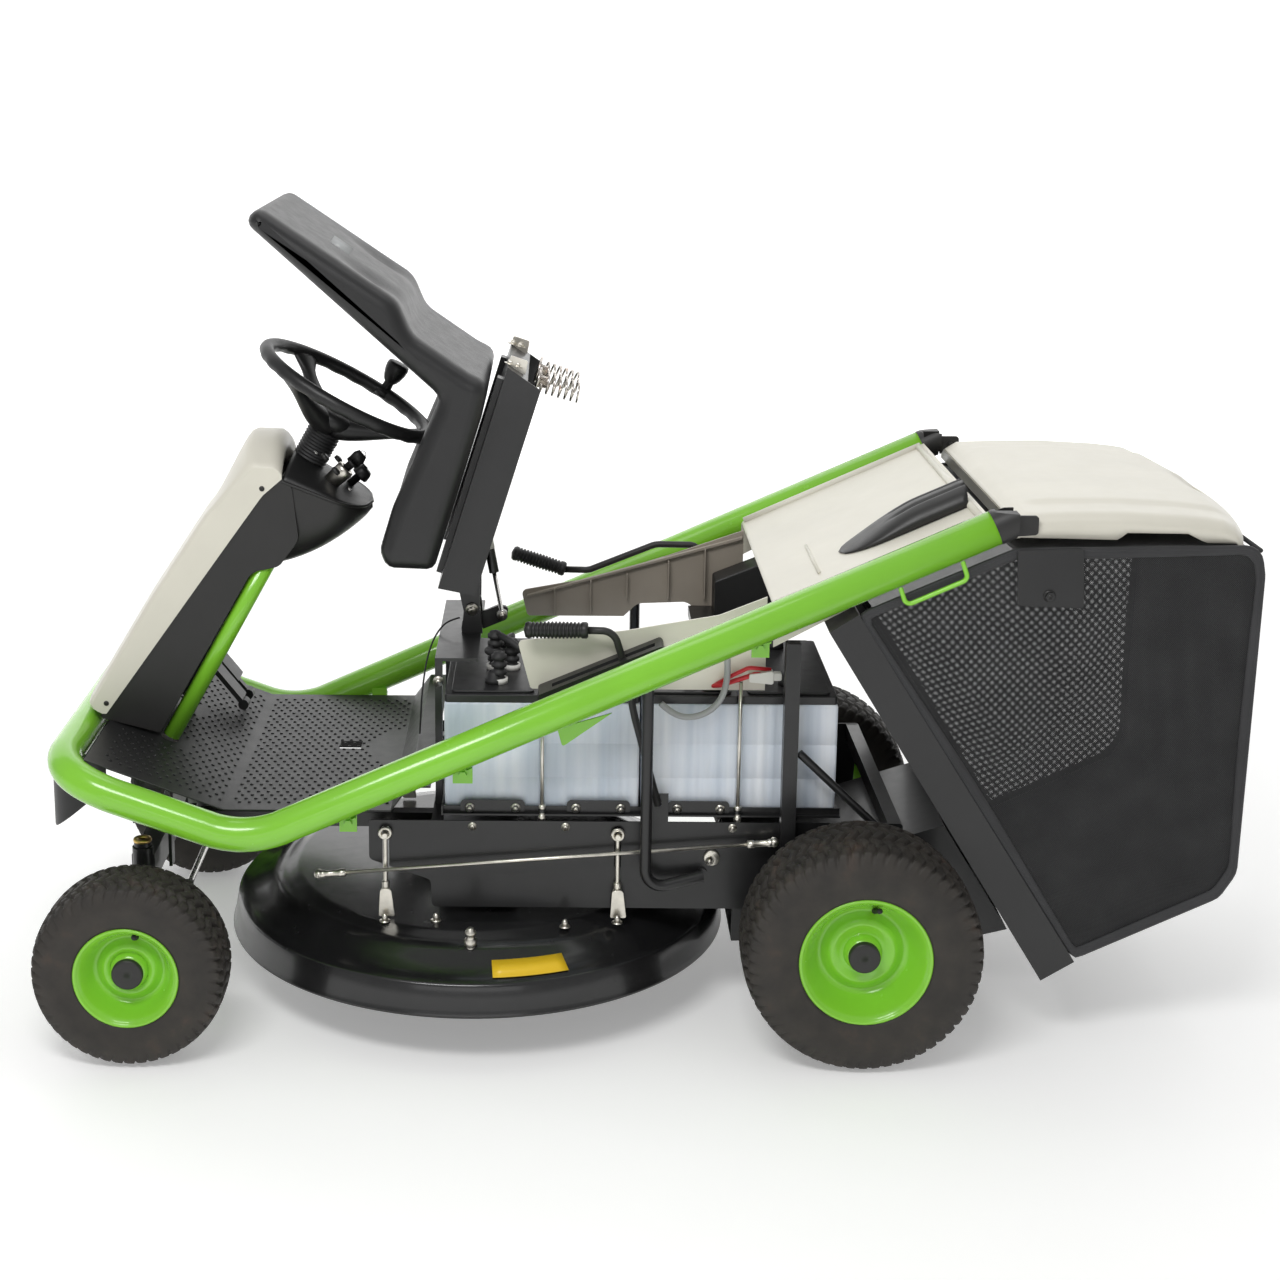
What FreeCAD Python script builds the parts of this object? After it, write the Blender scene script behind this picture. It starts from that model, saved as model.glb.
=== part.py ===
import FreeCAD, Part
import math
import os
import re
from FreeCAD import Placement, Rotation, Vector

# Battery riding lawn mower with a tipping grass box, in millimetres.  +X is forward, +Y is the
# machine's left and +Z is up.  Everything is drawn from the rear axle line (x = 0) on the ground
# (z = 0); origin_shift then moves the row's origin to the middle of its footprint.

DIMENSIONS = {
    "origin_shift": -379.53,
    "wheelbase": 1233.0,
    "rear_tyre_radius": 203.0,
    "rear_tyre_width": 165.0,
    "rear_wheel_side": 387.0,
    "rear_rim_radius": 114.0,
    "front_tyre_radius": 165.0,
    "front_tyre_width": 127.0,
    "front_wheel_side": 405.0,
    "front_rim_radius": 91.0,
    "hub_radius": 27.0,
    "axle_radius": 12.0,
    "kingpin_side": 285.0,
    "kingpin_radius": 10.0,
    "frame_tube_radius": 30.0,
    "frame_tube_wall": 3.0,
    "frame_side": 347.0,
    "frame_rear": -200.0,
    "frame_rear_height": 920.0,
    "frame_bend": 1043.0,
    "frame_bend_height": 356.0,
    "frame_front": 1370.0,
    "frame_front_height": 480.0,
    "floor_height": 408.0,
    "sheet_steel": 3.0,
    "plastic_wall": 4.0,
    "column_half_width": 110.0,
    "steering_tilt": 29.0,
    "steering_radius": 161.0,
    "steering_rim": 13.5,
    "deck_middle": 662.0,
    "deck_radius": 458.0,
    "deck_lip": 95.0,
    "deck_top": 198.0,
    "blade_length": 800.0,
    "battery_pitch": 171.0,
    "battery_gap": 4.0,
    "battery_front": 713.0,
    "battery_near_side": 245.0,
    "battery_length": 344.0,
    "battery_floor": 383.0,
    "battery_case_height": 196.0,
    "battery_lid_height": 18.0,
    "plate_side": 268.0,
    "panel_side": 230.0,
    "lever_side": 264.0,
    "seat_half_width": 222.0,
    "pan_half_width": 158.0,
    "box_half_width": 352.0,
    "lid_half_width": 338.0,
    "chute_half_width": 165.0,
    "cable_radius": 1.6,
    "hose_radius": 5.5,
}

doc = FreeCAD.newDocument("RidingMower")
sheet = doc.addObject("Spreadsheet::Sheet", "Sheet")
for row, (alias, size) in enumerate(DIMENSIONS.items(), start=1):
    sheet.set("A%d" % row, alias)
    sheet.set("B%d" % row, str(size))
    sheet.setAlias("B%d" % row, alias)
doc.recompute()

NODES = []
GAP = 0.4                    # clearance left between pieces that touch
SIDES = {"left": 1.0, "right": -1.0}


def dim(alias):
    """A driving dimension, read back from the sheet."""
    return float(sheet.get(alias))


def cells(expression):
    """Point the words of an expression at the sheet's aliases."""
    def named(match):
        word = match.group(0)
        return "Sheet." + word if word in DIMENSIONS else word
    return re.sub(r"[a-z][a-z_]+", named, expression)


def bind(thing, **sizes):
    """Bind properties of an object to expressions over the sheet."""
    for name, expression in sizes.items():
        thing.setExpression(name, cells(expression))
    return thing


def node(label, thing, at=("0", "0", "0"), turn=None):
    """Make an object a sub-part: its own label, and a place measured from the rear axle."""
    thing.Label = label
    thing.Placement = Placement(Vector(0, 0, 0), turn if turn else Rotation())
    for axis, expression in zip("xyz", at):
        shifted = "(%s) + origin_shift" % expression if axis == "x" else expression
        thing.setExpression(".Placement.Base." + axis, cells(shifted))
    NODES.append(thing)
    return thing


def box(name, corner, size):
    """A block from its lowest corner and its three sizes, all expressions."""
    block = doc.addObject("Part::Box", name)
    bind(block, Length=size[0], Width=size[1], Height=size[2])
    for axis, expression in zip("xyz", corner):
        block.setExpression(".Placement.Base." + axis, cells(expression))
    return block




def group(name, members):
    """Several separate solids kept together as one sub-part."""
    compound = doc.addObject("Part::Compound", name)
    compound.Links = members
    return compound


def cut(name, base, tool):
    result = doc.addObject("Part::Cut", name)
    result.Base = base
    result.Tool = tool
    return result


def shaped(name, shape):
    """A feature whose shape comes from Part's own functions."""
    feature = doc.addObject("Part::Feature", name)
    feature.Shape = shape
    return feature


def corner_arc(before, corner, after, radius):
    """Start, middle and end of the arc that rounds one corner."""
    back = (before - corner).normalize()
    ahead = (after - corner).normalize()
    half = back.getAngle(ahead) / 2.0
    reach = radius / math.tan(half)
    bisector = (back + ahead).normalize()
    middle = corner + bisector * (radius / math.sin(half) - radius)
    return corner + back * reach, middle, corner + ahead * reach


def rounded(points, closed=True):
    """Lines and tangent arcs through points; a fourth number rounds that corner."""
    corners = [Vector(*point[:3]) for point in points]
    radii = [point[3] if len(point) > 3 else 0.0 for point in points]
    count = len(corners)
    pieces = []
    entry = [None] * count
    leave = [None] * count
    arcs = [None] * count
    for index, corner in enumerate(corners):
        inside = closed or 0 < index < count - 1
        if radii[index] > 0.0 and inside:
            ends = corner_arc(corners[index - 1], corner, corners[(index + 1) % count], radii[index])
            entry[index], leave[index] = ends[0], ends[2]
            arcs[index] = Part.Arc(*ends)
        else:
            entry[index] = leave[index] = corner
    spans = count if closed else count - 1
    for index in range(spans):
        following = (index + 1) % count
        if arcs[index] is not None:
            pieces.append(arcs[index])
        if (entry[following] - leave[index]).Length > 1e-6:
            pieces.append(Part.LineSegment(leave[index], entry[following]))
    return pieces


def flat(outline):
    """Sketch-plane points (u, v[, corner radius]) as three-dimensional ones."""
    return [(p[0], p[1], 0.0) + tuple(p[2:]) for p in outline]


PLANE_ROLES = {"xy": "XY_Plane", "xz": "XZ_Plane", "yz": "YZ_Plane"}


def sketched(body, name, plane, outlines, offset="0"):
    """A sketch of closed outlines on one of the body's own planes."""
    sketch = body.newObject("Sketcher::SketchObject", name)
    role = PLANE_ROLES[plane]
    support = [item for item in body.Origin.OriginFeatures if item.Role == role][0]
    sketch.AttachmentSupport = (support, [""])
    sketch.MapMode = "FlatFace"
    sketch.setExpression(".AttachmentOffset.Base.z", cells(offset))
    for outline in outlines:
        for piece in rounded(flat(outline)):
            sketch.addGeometry(piece, False)
    return sketch


def turned(label, outlines):
    """A body of revolution about its own Y axis; outlines are (y, radius)."""
    body = doc.addObject("PartDesign::Body", label + "_body")
    for index, outline in enumerate(outlines):
        sketch = sketched(body, "%s_outline_%d" % (label, index), "yz", [outline])
        spin = body.newObject("PartDesign::Revolution", "%s_turn_%d" % (label, index))
        spin.Profile = sketch
        spin.ReferenceAxis = (sketch, ["H_Axis"])
        spin.Angle = 360.0
    return body


def prism(plane, outline, low, high):
    """A solid between two parallel planes, from an outline in their plane."""
    lift = {
        "xy": lambda p: (p[0], p[1], low) + tuple(p[2:]),
        "xz": lambda p: (p[0], low, p[1]) + tuple(p[2:]),
        "yz": lambda p: (low, p[0], p[1]) + tuple(p[2:]),
    }[plane]
    way = {"xy": Vector(0, 0, 1), "xz": Vector(0, 1, 0), "yz": Vector(1, 0, 0)}[plane]
    wire = Part.Wire([piece.toShape() for piece in rounded([lift(p) for p in outline])])
    return Part.Face(wire).extrude(way * (high - low))


def swept(points, radius):
    """A round bar along straight runs joined by tangent arcs."""
    path = Part.Wire([piece.toShape() for piece in rounded(points, closed=False)])
    start = Vector(*points[0][:3])
    way = (Vector(*points[1][:3]) - start).normalize()
    ring = Part.Wire(Part.makeCircle(radius, start, way))
    return path.makePipeShell([ring], True, False)


def pipe(points, radius, wall):
    """A hollow tube along straight runs joined by tangent arcs."""
    return swept(points, radius).cut(swept(points, radius - wall))


def block(x_low, x_high, y_low, y_high, z_low, z_high):
    return Part.makeBox(x_high - x_low, y_high - y_low, z_high - z_low, Vector(x_low, y_low, z_low))


def bar(start, end, radius):
    """A straight round bar between two points."""
    start, end = Vector(*start), Vector(*end)
    return Part.makeCylinder(radius, (end - start).Length, start, end - start)


def hexagon(centre, way, flats, height):
    """A bolt head: a six-sided prism standing on a point."""
    way = Vector(*way).normalize()
    corners = [
        Vector(flats / math.sqrt(3.0) * math.cos(math.radians(60 * k)),
               flats / math.sqrt(3.0) * math.sin(math.radians(60 * k)), 0)
        for k in range(7)
    ]
    head = Part.Face(Part.makePolygon(corners)).extrude(Vector(0, 0, height))
    head.Placement = Placement(Vector(*centre), Rotation(Vector(0, 0, 1), way))
    return head


def mirrored(shape):
    """The same shape on the other side of the machine."""
    return shape.mirror(Vector(0, 0, 0), Vector(0, 1, 0))


def both(shape):
    return Part.makeCompound([shape, mirrored(shape)])


def banded(line, depth_u, depth_v):
    """A strip outline: a line of points and the same line moved by a small depth."""
    back = [(u + depth_u, v + depth_v) for u, v in reversed(line)]
    return list(line) + back


# ---------------------------------------------------------------- main tube frame
SIDE = dim("frame_side")
TUBE = dim("frame_tube_radius")
REAR = (dim("frame_rear"), dim("frame_rear_height"))
BEND = (dim("frame_bend"), dim("frame_bend_height"))
FRONT = (dim("frame_front"), dim("frame_front_height"))
RAIL_BEND_RADIUS = 150.0
HOOP_BEND_RADIUS = 105.0
SPLIT = 1150.0               # where each rail meets the front hoop


def rail_height(x):
    """Height of the rail's centre line behind the bend."""
    return REAR[1] + (x - REAR[0]) * (BEND[1] - REAR[1]) / (BEND[0] - REAR[0])


def flank_height(x):
    """Height of the tube's centre line ahead of the bend."""
    return BEND[1] + (x - BEND[0]) * (FRONT[1] - BEND[1]) / (FRONT[0] - BEND[0])


rail_path = [
    (REAR[0], SIDE, REAR[1]),
    (BEND[0], SIDE, BEND[1], RAIL_BEND_RADIUS),
    (SPLIT, SIDE, flank_height(SPLIT)),
]
rail = pipe(rail_path, TUBE, dim("frame_tube_wall"))
node("frame_rails", shaped("FrameRails", both(rail)))

hoop_path = [
    (SPLIT, SIDE, flank_height(SPLIT)),
    (FRONT[0], SIDE, FRONT[1], HOOP_BEND_RADIUS),
    (FRONT[0], -SIDE, FRONT[1], HOOP_BEND_RADIUS),
    (SPLIT, -SIDE, flank_height(SPLIT)),
]
node("frame_front_hoop", shaped("FrontHoop", pipe(hoop_path, TUBE, dim("frame_tube_wall"))))

rail_clearance = swept(rail_path, TUBE + GAP)
hoop_clearance = swept(hoop_path, TUBE + GAP)

RAIL_SLOPE = Vector(BEND[0] - REAR[0], 0, BEND[1] - REAR[1]).normalize()
CAP_REAR = REAR[0] - 34.0
cap = bar((REAR[0], SIDE, REAR[1]),
          (REAR[0] - RAIL_SLOPE.x * 70, SIDE, REAR[1] - RAIL_SLOPE.z * 70), TUBE)
cap = cap.common(block(CAP_REAR, 0, 0, 2 * SIDE, REAR[1] - 60, REAR[1] + 29))
LID = dim("lid_half_width")
PIVOT = (-255.0, 925.0)
pivot_plate = prism("xz", [(-235, 905), (-272, 908, 6), (-272, 940, 6), (-235, 940)], LID + 3, LID + 8)
pivot_plate = pivot_plate.fuse(bar((PIVOT[0], LID - 12, PIVOT[1]), (PIVOT[0], LID + 8, PIVOT[1]), 5))
cap = cap.cut(block(-300, -200, LID - 14, LID + 8.4, 800, 1000))
node("frame_end_caps", shaped("EndCaps", Part.makeCompound([both(cap), both(pivot_plate)])))

# ---------------------------------------------------------------- lugs, grab loops and stays
LUGS = [(872.0, 30.0), (676.0, 34.0), (176.0, 30.0)]
lugs = []
for lug_x, lug_width in LUGS:
    top = rail_height(lug_x) - TUBE + 2.0
    tab = block(lug_x - lug_width / 2, lug_x + lug_width / 2, SIDE - 30, SIDE - 25, top - 34, top + 16)
    tab = tab.fuse(block(lug_x - lug_width / 2, lug_x + lug_width / 2, SIDE - 30, SIDE, top - 2, top + 3))
    lugs.append(tab.cut(rail_clearance))
    lugs.append(hexagon((lug_x, SIDE - 25, top - 18), (0, 1, 0), 13, 7))
loop_front = -46.0
loop_rear = -146.0
loop_drop = 34.0
LOOP_SIDE = SIDE + 12.0
loop_path = [
    (loop_front, LOOP_SIDE, rail_height(loop_front) - 26),
    (loop_front - 12, LOOP_SIDE, rail_height(loop_front) - 26 - loop_drop, 10),
    (loop_rear - 12, LOOP_SIDE, rail_height(loop_rear) - 26 - loop_drop, 10),
    (loop_rear, LOOP_SIDE, rail_height(loop_rear) - 26),
]
lugs.append(swept(loop_path, 4.0).cut(rail_clearance))
lug_set = Part.makeCompound(lugs)
node("frame_lugs", shaped("FrameLugs", Part.makeCompound([lug_set, mirrored(lug_set)])))

STAY_RADIUS = 16.0
STAY_SIDE = 88.0
STAY_FOOT = (1214.0, 462.0)
STAY_HEAD = (1000.0, 847.0)
stay = bar((STAY_FOOT[0], STAY_SIDE, STAY_FOOT[1]), (STAY_HEAD[0], STAY_SIDE, STAY_HEAD[1]), STAY_RADIUS)
node("column_stays", shaped("ColumnStays", both(stay)))
stay_clearance = bar((STAY_FOOT[0] + 30, STAY_SIDE, STAY_FOOT[1] - 54),
                     (STAY_HEAD[0] - 20, STAY_SIDE, STAY_HEAD[1] + 36), STAY_RADIUS + GAP)
stay_clearance = both(stay_clearance)

# ---------------------------------------------------------------- floor pan and bumper
FLOOR = dim("floor_height")
STEEL = dim("sheet_steel")
floor_line = [(731, FLOOR + 44), (768, FLOOR + 44), (800, FLOOR), (1086, FLOOR), (1322, FLOOR + 88)]
FLOOR_HALF = SIDE - TUBE - 2.0
floor = prism("xz", banded(floor_line, 0, -STEEL), -FLOOR_HALF, FLOOR_HALF)
floor = floor.cut(hoop_clearance)
floor = floor.cut(block(880, 920, -38, 2, FLOOR - 20, FLOOR + 20))
floor = floor.cut(stay_clearance)
node("floor_pan", shaped("FloorPan", floor))

bumper_outer = [(1300, -200, 30), (1418, -200, 60), (1418, 200, 60), (1300, 200, 30)]
bumper_inner = [(1296, -196, 26), (1414, -196, 56), (1414, 196, 56), (1296, 196, 26)]
bumper = prism("xy", bumper_outer, 318, 462).cut(prism("xy", bumper_inner, 322, 470))
bumper = bumper.cut(hoop_clearance)
bumper = bumper.cut(prism("xz", [(1290, 310), (1420, 310), (1290, 420)], -210, 210))
node("front_bumper", shaped("FrontBumper", bumper))

# ---------------------------------------------------------------- steering column and dash
HALF = dim("column_half_width")
WALL = dim("plastic_wall")
cover_outline = [
    (1352, 500), (1376, 516, 8), (1086, 962, 60), (1040, 1046, 14), (990, 1050, 4),
    (1004, 976, 10), (1044, 928, 20),
]
cover_inside = [
    (1340, 492), (1370, 514), (1082, 957, 56), (1037, 1042, 10), (988, 1046),
    (998, 976, 6), (1038, 925, 16),
]
cover = prism("xz", cover_outline, -HALF, HALF)
cover = cover.cut(prism("xz", cover_inside, -HALF + WALL, HALF - WALL))
cover = cover.cut(hoop_clearance)
node("column_cover", shaped("ColumnCover", cover))

shroud_side = [
    (1342, 504), (1213, 470), (1036, 790, 40), (948, 790, 60), (852, 862, 10),
    (858, 884, 8), (986, 1020, 6), (990, 976 + GAP, 6), (1032, 926, 14),
]
shroud_hollow = [
    (1332, 508), (1219, 480), (1041, 796, 36), (952, 796, 56), (862, 864, 6),
    (865, 878, 4), (986, 1012, 4), (985, 976, 4), (1026, 923, 12),
]
shroud = prism("xz", shroud_side, -HALF + 1, HALF - 1)
shroud = shroud.cut(prism("xz", shroud_hollow, -HALF + 1 + WALL, HALF - 1 - WALL))
shroud = shroud.cut(stay_clearance)

tilt = math.radians(dim("steering_tilt"))
AXIS = Vector(-math.sin(tilt), 0, math.cos(tilt))
WHEEL_CENTRE = Vector(896, 0, 1082)


def along_axis(distance):
    """A point on the steering axis, measured from the wheel's rim plane."""
    return WHEEL_CENTRE + AXIS * distance


dash_plate = prism("xz", [(866, 891), (984, 1024), (981, 1029), (862, 896)], -HALF + 8, HALF - 8)
boot_hole = Part.makeCylinder(32, 120, along_axis(-190), AXIS)
KEY_FOOT = Vector(905, 38, 939)
KNOB_FOOT = Vector(884, -34, 915)
DASH_UP = Vector(-0.748, 0, 0.664)
key_hole = Part.makeCylinder(8.4, 30, KEY_FOOT - DASH_UP * 15, DASH_UP)
knob_hole = Part.makeCylinder(6.4, 30, KNOB_FOOT - DASH_UP * 15, DASH_UP)
dash_plate = dash_plate.cut(boot_hole).cut(key_hole).cut(knob_hole)
shroud = shroud.cut(prism("xz", [(858, 884), (990, 1032), (975, 1045), (845, 900)],
                          -HALF + 7, HALF - 7)).cut(dash_plate)
shroud = shroud.cut(boot_hole).cut(key_hole).cut(knob_hole)
node("column_shroud", shaped("ColumnShroud", shroud))
node("dash_panel", shaped("DashPanel", dash_plate))

boot_rings = []
BOOT_FOOT = -150.0
BOOT_STEP = 11.0
for ring in range(6):
    low = Part.makeCone(25, 30, BOOT_STEP / 2, along_axis(BOOT_FOOT + ring * BOOT_STEP), AXIS)
    high = Part.makeCone(30, 25, BOOT_STEP / 2, along_axis(BOOT_FOOT + (ring + 0.5) * BOOT_STEP), AXIS)
    boot_rings += [low, high]
boot = boot_rings[0].multiFuse(boot_rings[1:])
boot = boot.cut(Part.makeCylinder(21, 90, along_axis(BOOT_FOOT - 10), AXIS))
node("steering_boot", shaped("SteeringBoot", boot))

rim = Part.makeTorus(dim("steering_radius"), dim("steering_rim"), WHEEL_CENTRE, AXIS)
wheel_parts = [rim, Part.makeCone(34, 30, 26, along_axis(-78), AXIS)]
SPOKE_ANGLES = (180.0, 50.0, -50.0)
across = Vector(0, 1, 0)
outward = across.cross(AXIS)
for angle in SPOKE_ANGLES:
    turn = math.radians(angle)
    way = outward * math.cos(turn) + across * math.sin(turn)
    inner = along_axis(-64) + way * 22
    outer = WHEEL_CENTRE + way * (dim("steering_radius") - 4)
    spoke = Part.makeCone(16, 9, (outer - inner).Length, inner, outer - inner)
    wheel_parts.append(spoke)
knob_turn = math.radians(-112.0)
knob_way = outward * math.cos(knob_turn) + across * math.sin(knob_turn)
knob_base = WHEEL_CENTRE + knob_way * dim("steering_radius") + AXIS * 8
wheel_parts.append(Part.makeCylinder(8, 22, knob_base, AXIS))
wheel_parts.append(Part.makeCone(14, 21, 34, knob_base + AXIS * 20, AXIS))
shaft = Part.makeCylinder(8, 581, along_axis(-655), AXIS)
node("steering_wheel", shaped("SteeringWheel", wheel_parts[0].multiFuse(wheel_parts[1:] + [shaft])))

key = Part.makeCylinder(8, 30, KEY_FOOT - DASH_UP * 14, DASH_UP)
key = key.fuse(Part.makeCylinder(13, 22, KEY_FOOT + DASH_UP * 6, DASH_UP))
bow = Part.makeBox(22, 6, 24, Vector(-11, -3, 0))
bow.Placement = Placement(KEY_FOOT + DASH_UP * 26, Rotation(Vector(0, 0, 1), DASH_UP))
node("key_switch", shaped("KeySwitch", key.fuse(bow)))
knob = Part.makeCylinder(6, 30, KNOB_FOOT - DASH_UP * 14, DASH_UP)
knob = knob.fuse(Part.makeCone(16, 13, 20, KNOB_FOOT + DASH_UP * 6, DASH_UP))
node("speed_knob", shaped("SpeedKnob", knob))

# ---------------------------------------------------------------- front axle and steering linkage
BASE = dim("wheelbase")
PIN_SIDE = dim("kingpin_side")
PIN = dim("kingpin_radius")
FRONT_AXLE = dim("front_tyre_radius")
BEAM_LOW, BEAM_HIGH = 262.0, 312.0
beam = block(BASE - 20, BASE + 20, -PIN_SIDE, PIN_SIDE, BEAM_LOW, BEAM_HIGH)
for side in SIDES.values():
    beam = beam.fuse(bar((BASE, side * PIN_SIDE, 240), (BASE, side * PIN_SIDE, 328), 18))
for side in SIDES.values():
    beam = beam.cut(bar((BASE, side * PIN_SIDE, 230), (BASE, side * PIN_SIDE, 340), PIN + GAP))
beam = beam.cut(bar((BASE - 40, 0, 287), (BASE + 40, 0, 287), 10 + GAP))
node("front_axle_beam", shaped("FrontAxleBeam", beam))

ARM_REACH = 75.0
AXLE_END = dim("front_wheel_side") + 0.30 * dim("front_tyre_width")
for name, side in SIDES.items():
    spot = side * PIN_SIDE
    knuckle = bar((BASE, spot, FRONT_AXLE - 16), (BASE, spot, 336), PIN)
    knuckle = knuckle.fuse(bar((BASE, spot, FRONT_AXLE - 18), (BASE, spot, 238), 16))
    knuckle = knuckle.fuse(bar((BASE, spot, 329), (BASE, spot, 337), 15))
    knuckle = knuckle.fuse(bar((BASE, spot, FRONT_AXLE), (BASE, side * AXLE_END, FRONT_AXLE), dim("axle_radius")))
    knuckle = knuckle.fuse(bar((BASE, spot, 228), (BASE - ARM_REACH, spot - side * 6, 228), 7))
    knuckle = knuckle.fuse(bar((BASE - ARM_REACH, spot - side * 6, 222),
                               (BASE - ARM_REACH, spot - side * 6, 240), 9))
    node("knuckle_" + name, shaped("Knuckle" + name.title(), knuckle))

tie = bar((BASE - ARM_REACH, -PIN_SIDE + 6, 250), (BASE - ARM_REACH, PIN_SIDE - 6, 250), 6)
for side in SIDES.values():
    tie = tie.fuse(bar((BASE - ARM_REACH, side * (PIN_SIDE - 6), 241),
                       (BASE - ARM_REACH, side * (PIN_SIDE - 6), 261), 10))
node("tie_rod", shaped("TieRod", tie))

# ---------------------------------------------------------------- wheels
HUB = dim("hub_radius")
AXLE = dim("axle_radius")


def tyre_outline(width, outer, bead):
    """A tyre's section, (across, radius): open towards the rim."""
    wall = 9.0
    middle = bead + 0.52 * (outer - bead)
    half = 0.5 * width
    shell = [
        (0.40 * width, bead), (half, middle, 24), (0.455 * width, outer - 14, 9), (0.36 * width, outer, 12),
        (-0.36 * width, outer, 12), (-0.455 * width, outer - 14, 9), (-half, middle, 24), (-0.40 * width, bead),
    ]
    inner = [
        (-0.40 * width + wall, bead), (-half + wall, middle, 20), (-0.36 * width, outer - 20, 12),
        (0.36 * width, outer - 20, 12), (half - wall, middle, 20), (0.40 * width - wall, bead),
    ]
    return shell + inner


def rim_outlines(width, flange):
    """A pressed rim's barrel and dished disc, (across, radius)."""
    well = flange - 24.0
    barrel = [
        (-0.43 * width, flange), (-0.38 * width, flange - 10), (-0.18 * width, well), (0.18 * width, well),
        (0.38 * width, flange - 10), (0.43 * width, flange),
    ]
    barrel_wall = [
        (0.43 * width, flange - 4), (0.37 * width, flange - 14), (0.17 * width, well - 4),
        (-0.17 * width, well - 4), (-0.37 * width, flange - 14), (-0.43 * width, flange - 4),
    ]
    disc = [
        (0.14 * width, well - 2), (0.26 * width, well - 16), (0.24 * width, 0.54 * well), (0.12 * width, 0.44 * well),
        (0.12 * width, HUB - 2), (0.30 * width, HUB - 2), (0.30 * width, AXLE + GAP), (-0.30 * width, AXLE + GAP),
        (-0.30 * width, HUB - 5), (0.09 * width, HUB - 5), (0.09 * width, 0.44 * well + 3),
        (0.21 * width, 0.54 * well + 3), (0.22 * width, well - 19), (0.10 * width, well - 2),
    ]
    return [barrel + barrel_wall, disc]


def hub_cap_outline(width):
    """The plain cap over the axle's end, (across, radius)."""
    return [
        (0.30 * width + GAP, 0.0), (0.30 * width + GAP, HUB), (0.41 * width, HUB, 3), (0.44 * width, HUB - 6, 3),
        (0.44 * width, 0.0),
    ]


WHEELS = {
    "rear": ("rear_tyre_radius", "rear_tyre_width", "rear_rim_radius", "rear_wheel_side", "0"),
    "front": ("front_tyre_radius", "front_tyre_width", "front_rim_radius", "front_wheel_side", "wheelbase"),
}
for end, (radius, width, flange, offset, station) in WHEELS.items():
    for name, side in SIDES.items():
        facing = Rotation() if side > 0 else Rotation(Vector(0, 0, 1), 180)
        place = (station, ("" if side > 0 else "-") + offset, radius)
        suffix = "%s_%s" % (end, name)
        tyre = turned("Tyre_" + suffix, [tyre_outline(dim(width), dim(radius), dim(flange) - 3 + GAP)])
        node("tyre_" + suffix, tyre, place, facing)
        rim_body = turned("Disc_" + suffix, rim_outlines(dim(width), dim(flange) - 3))
        cap_body = turned("Cap_" + suffix, [hub_cap_outline(dim(width))])
        node("rim_" + suffix, group("Rim_" + suffix, [rim_body, cap_body]), place, facing)

# ---------------------------------------------------------------- drive, side plates and tray
PLATE = dim("plate_side")
TRAY = dim("battery_floor")
STUB_END = dim("rear_wheel_side") + 0.30 * dim("rear_tyre_width")
drive = []
for side in SIDES.values():
    drum = bar((0, side * 172.0, 203), (0, side * (PLATE - STEEL - GAP), 203), 56)
    stub = bar((0, side * (PLATE - STEEL - 12), 203), (0, side * STUB_END, 203), AXLE)
    drive.append(drum.fuse(stub))
node("wheel_motors", shaped("WheelMotors", Part.makeCompound(drive)))

HANGER_STATIONS = (813.0, 409.0)
plate_outline = [
    (842, 372, 6), (842, 300, 10), (735, 262, 10), (733, 212, 8), (110, 212, 10), (70, 140, 20), (-70, 140, 20),
    (-86, 372, 6),
]
plate = prism("xz", plate_outline, PLATE - STEEL, PLATE)
plate = plate.cut(bar((0, 200, 203), (0, 300, 203), AXLE + 2))
for station in HANGER_STATIONS:
    plate = plate.cut(prism("xz", [(station - 6, 284, 5), (station + 6, 284, 5), (station + 6, 364, 5),
                                   (station - 6, 364, 5)], 200, 300))
LEVER_PIVOT = (340.0, 406.0)
plate = plate.fuse(block(322, 358, PLATE - STEEL, PLATE, 368, 424))
plate = plate.cut(bar((LEVER_PIVOT[0], 200, LEVER_PIVOT[1]), (LEVER_PIVOT[0], 300, LEVER_PIVOT[1]), 6 + GAP))
frame_plates = both(plate)
members = [
    block(716.5, 733, -PLATE + STEEL + GAP, PLATE - STEEL - GAP, 340, 371),
    block(-84, -60, -PLATE + STEEL + GAP, PLATE - STEEL - GAP, 340, 371),
]
for side in SIDES.values():
    low, high = sorted((side * 192, side * 217))
    members.append(block(733.5, 1196 - GAP, low, high, 340, 366))
    members.append(block(1196, 1202 - GAP, low, high, 262, 366))
for front in (1197.0, 1265.0):
    cheek = block(front, front + 5, -186, 186, 330, 440).fuse(block(front, front + 5, -45, 45, 262, 330))
    members.append(cheek.cut(bar((BASE - 60, 0, 287), (BASE + 60, 0, 287), 10 + GAP)))
members.append(bar((BASE - 44, 0, 287), (BASE + 44, 0, 287), 10))
underside = prism("xz", [(1080, FLOOR - STEEL - GAP), (1340, FLOOR + 94), (1340, 520), (1080, 520)], -400, 400)
members = [member.cut(underside).cut(hoop_clearance) for member in members]
node("chassis_plates", shaped("ChassisPlates", Part.makeCompound([frame_plates] + members)))

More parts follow.
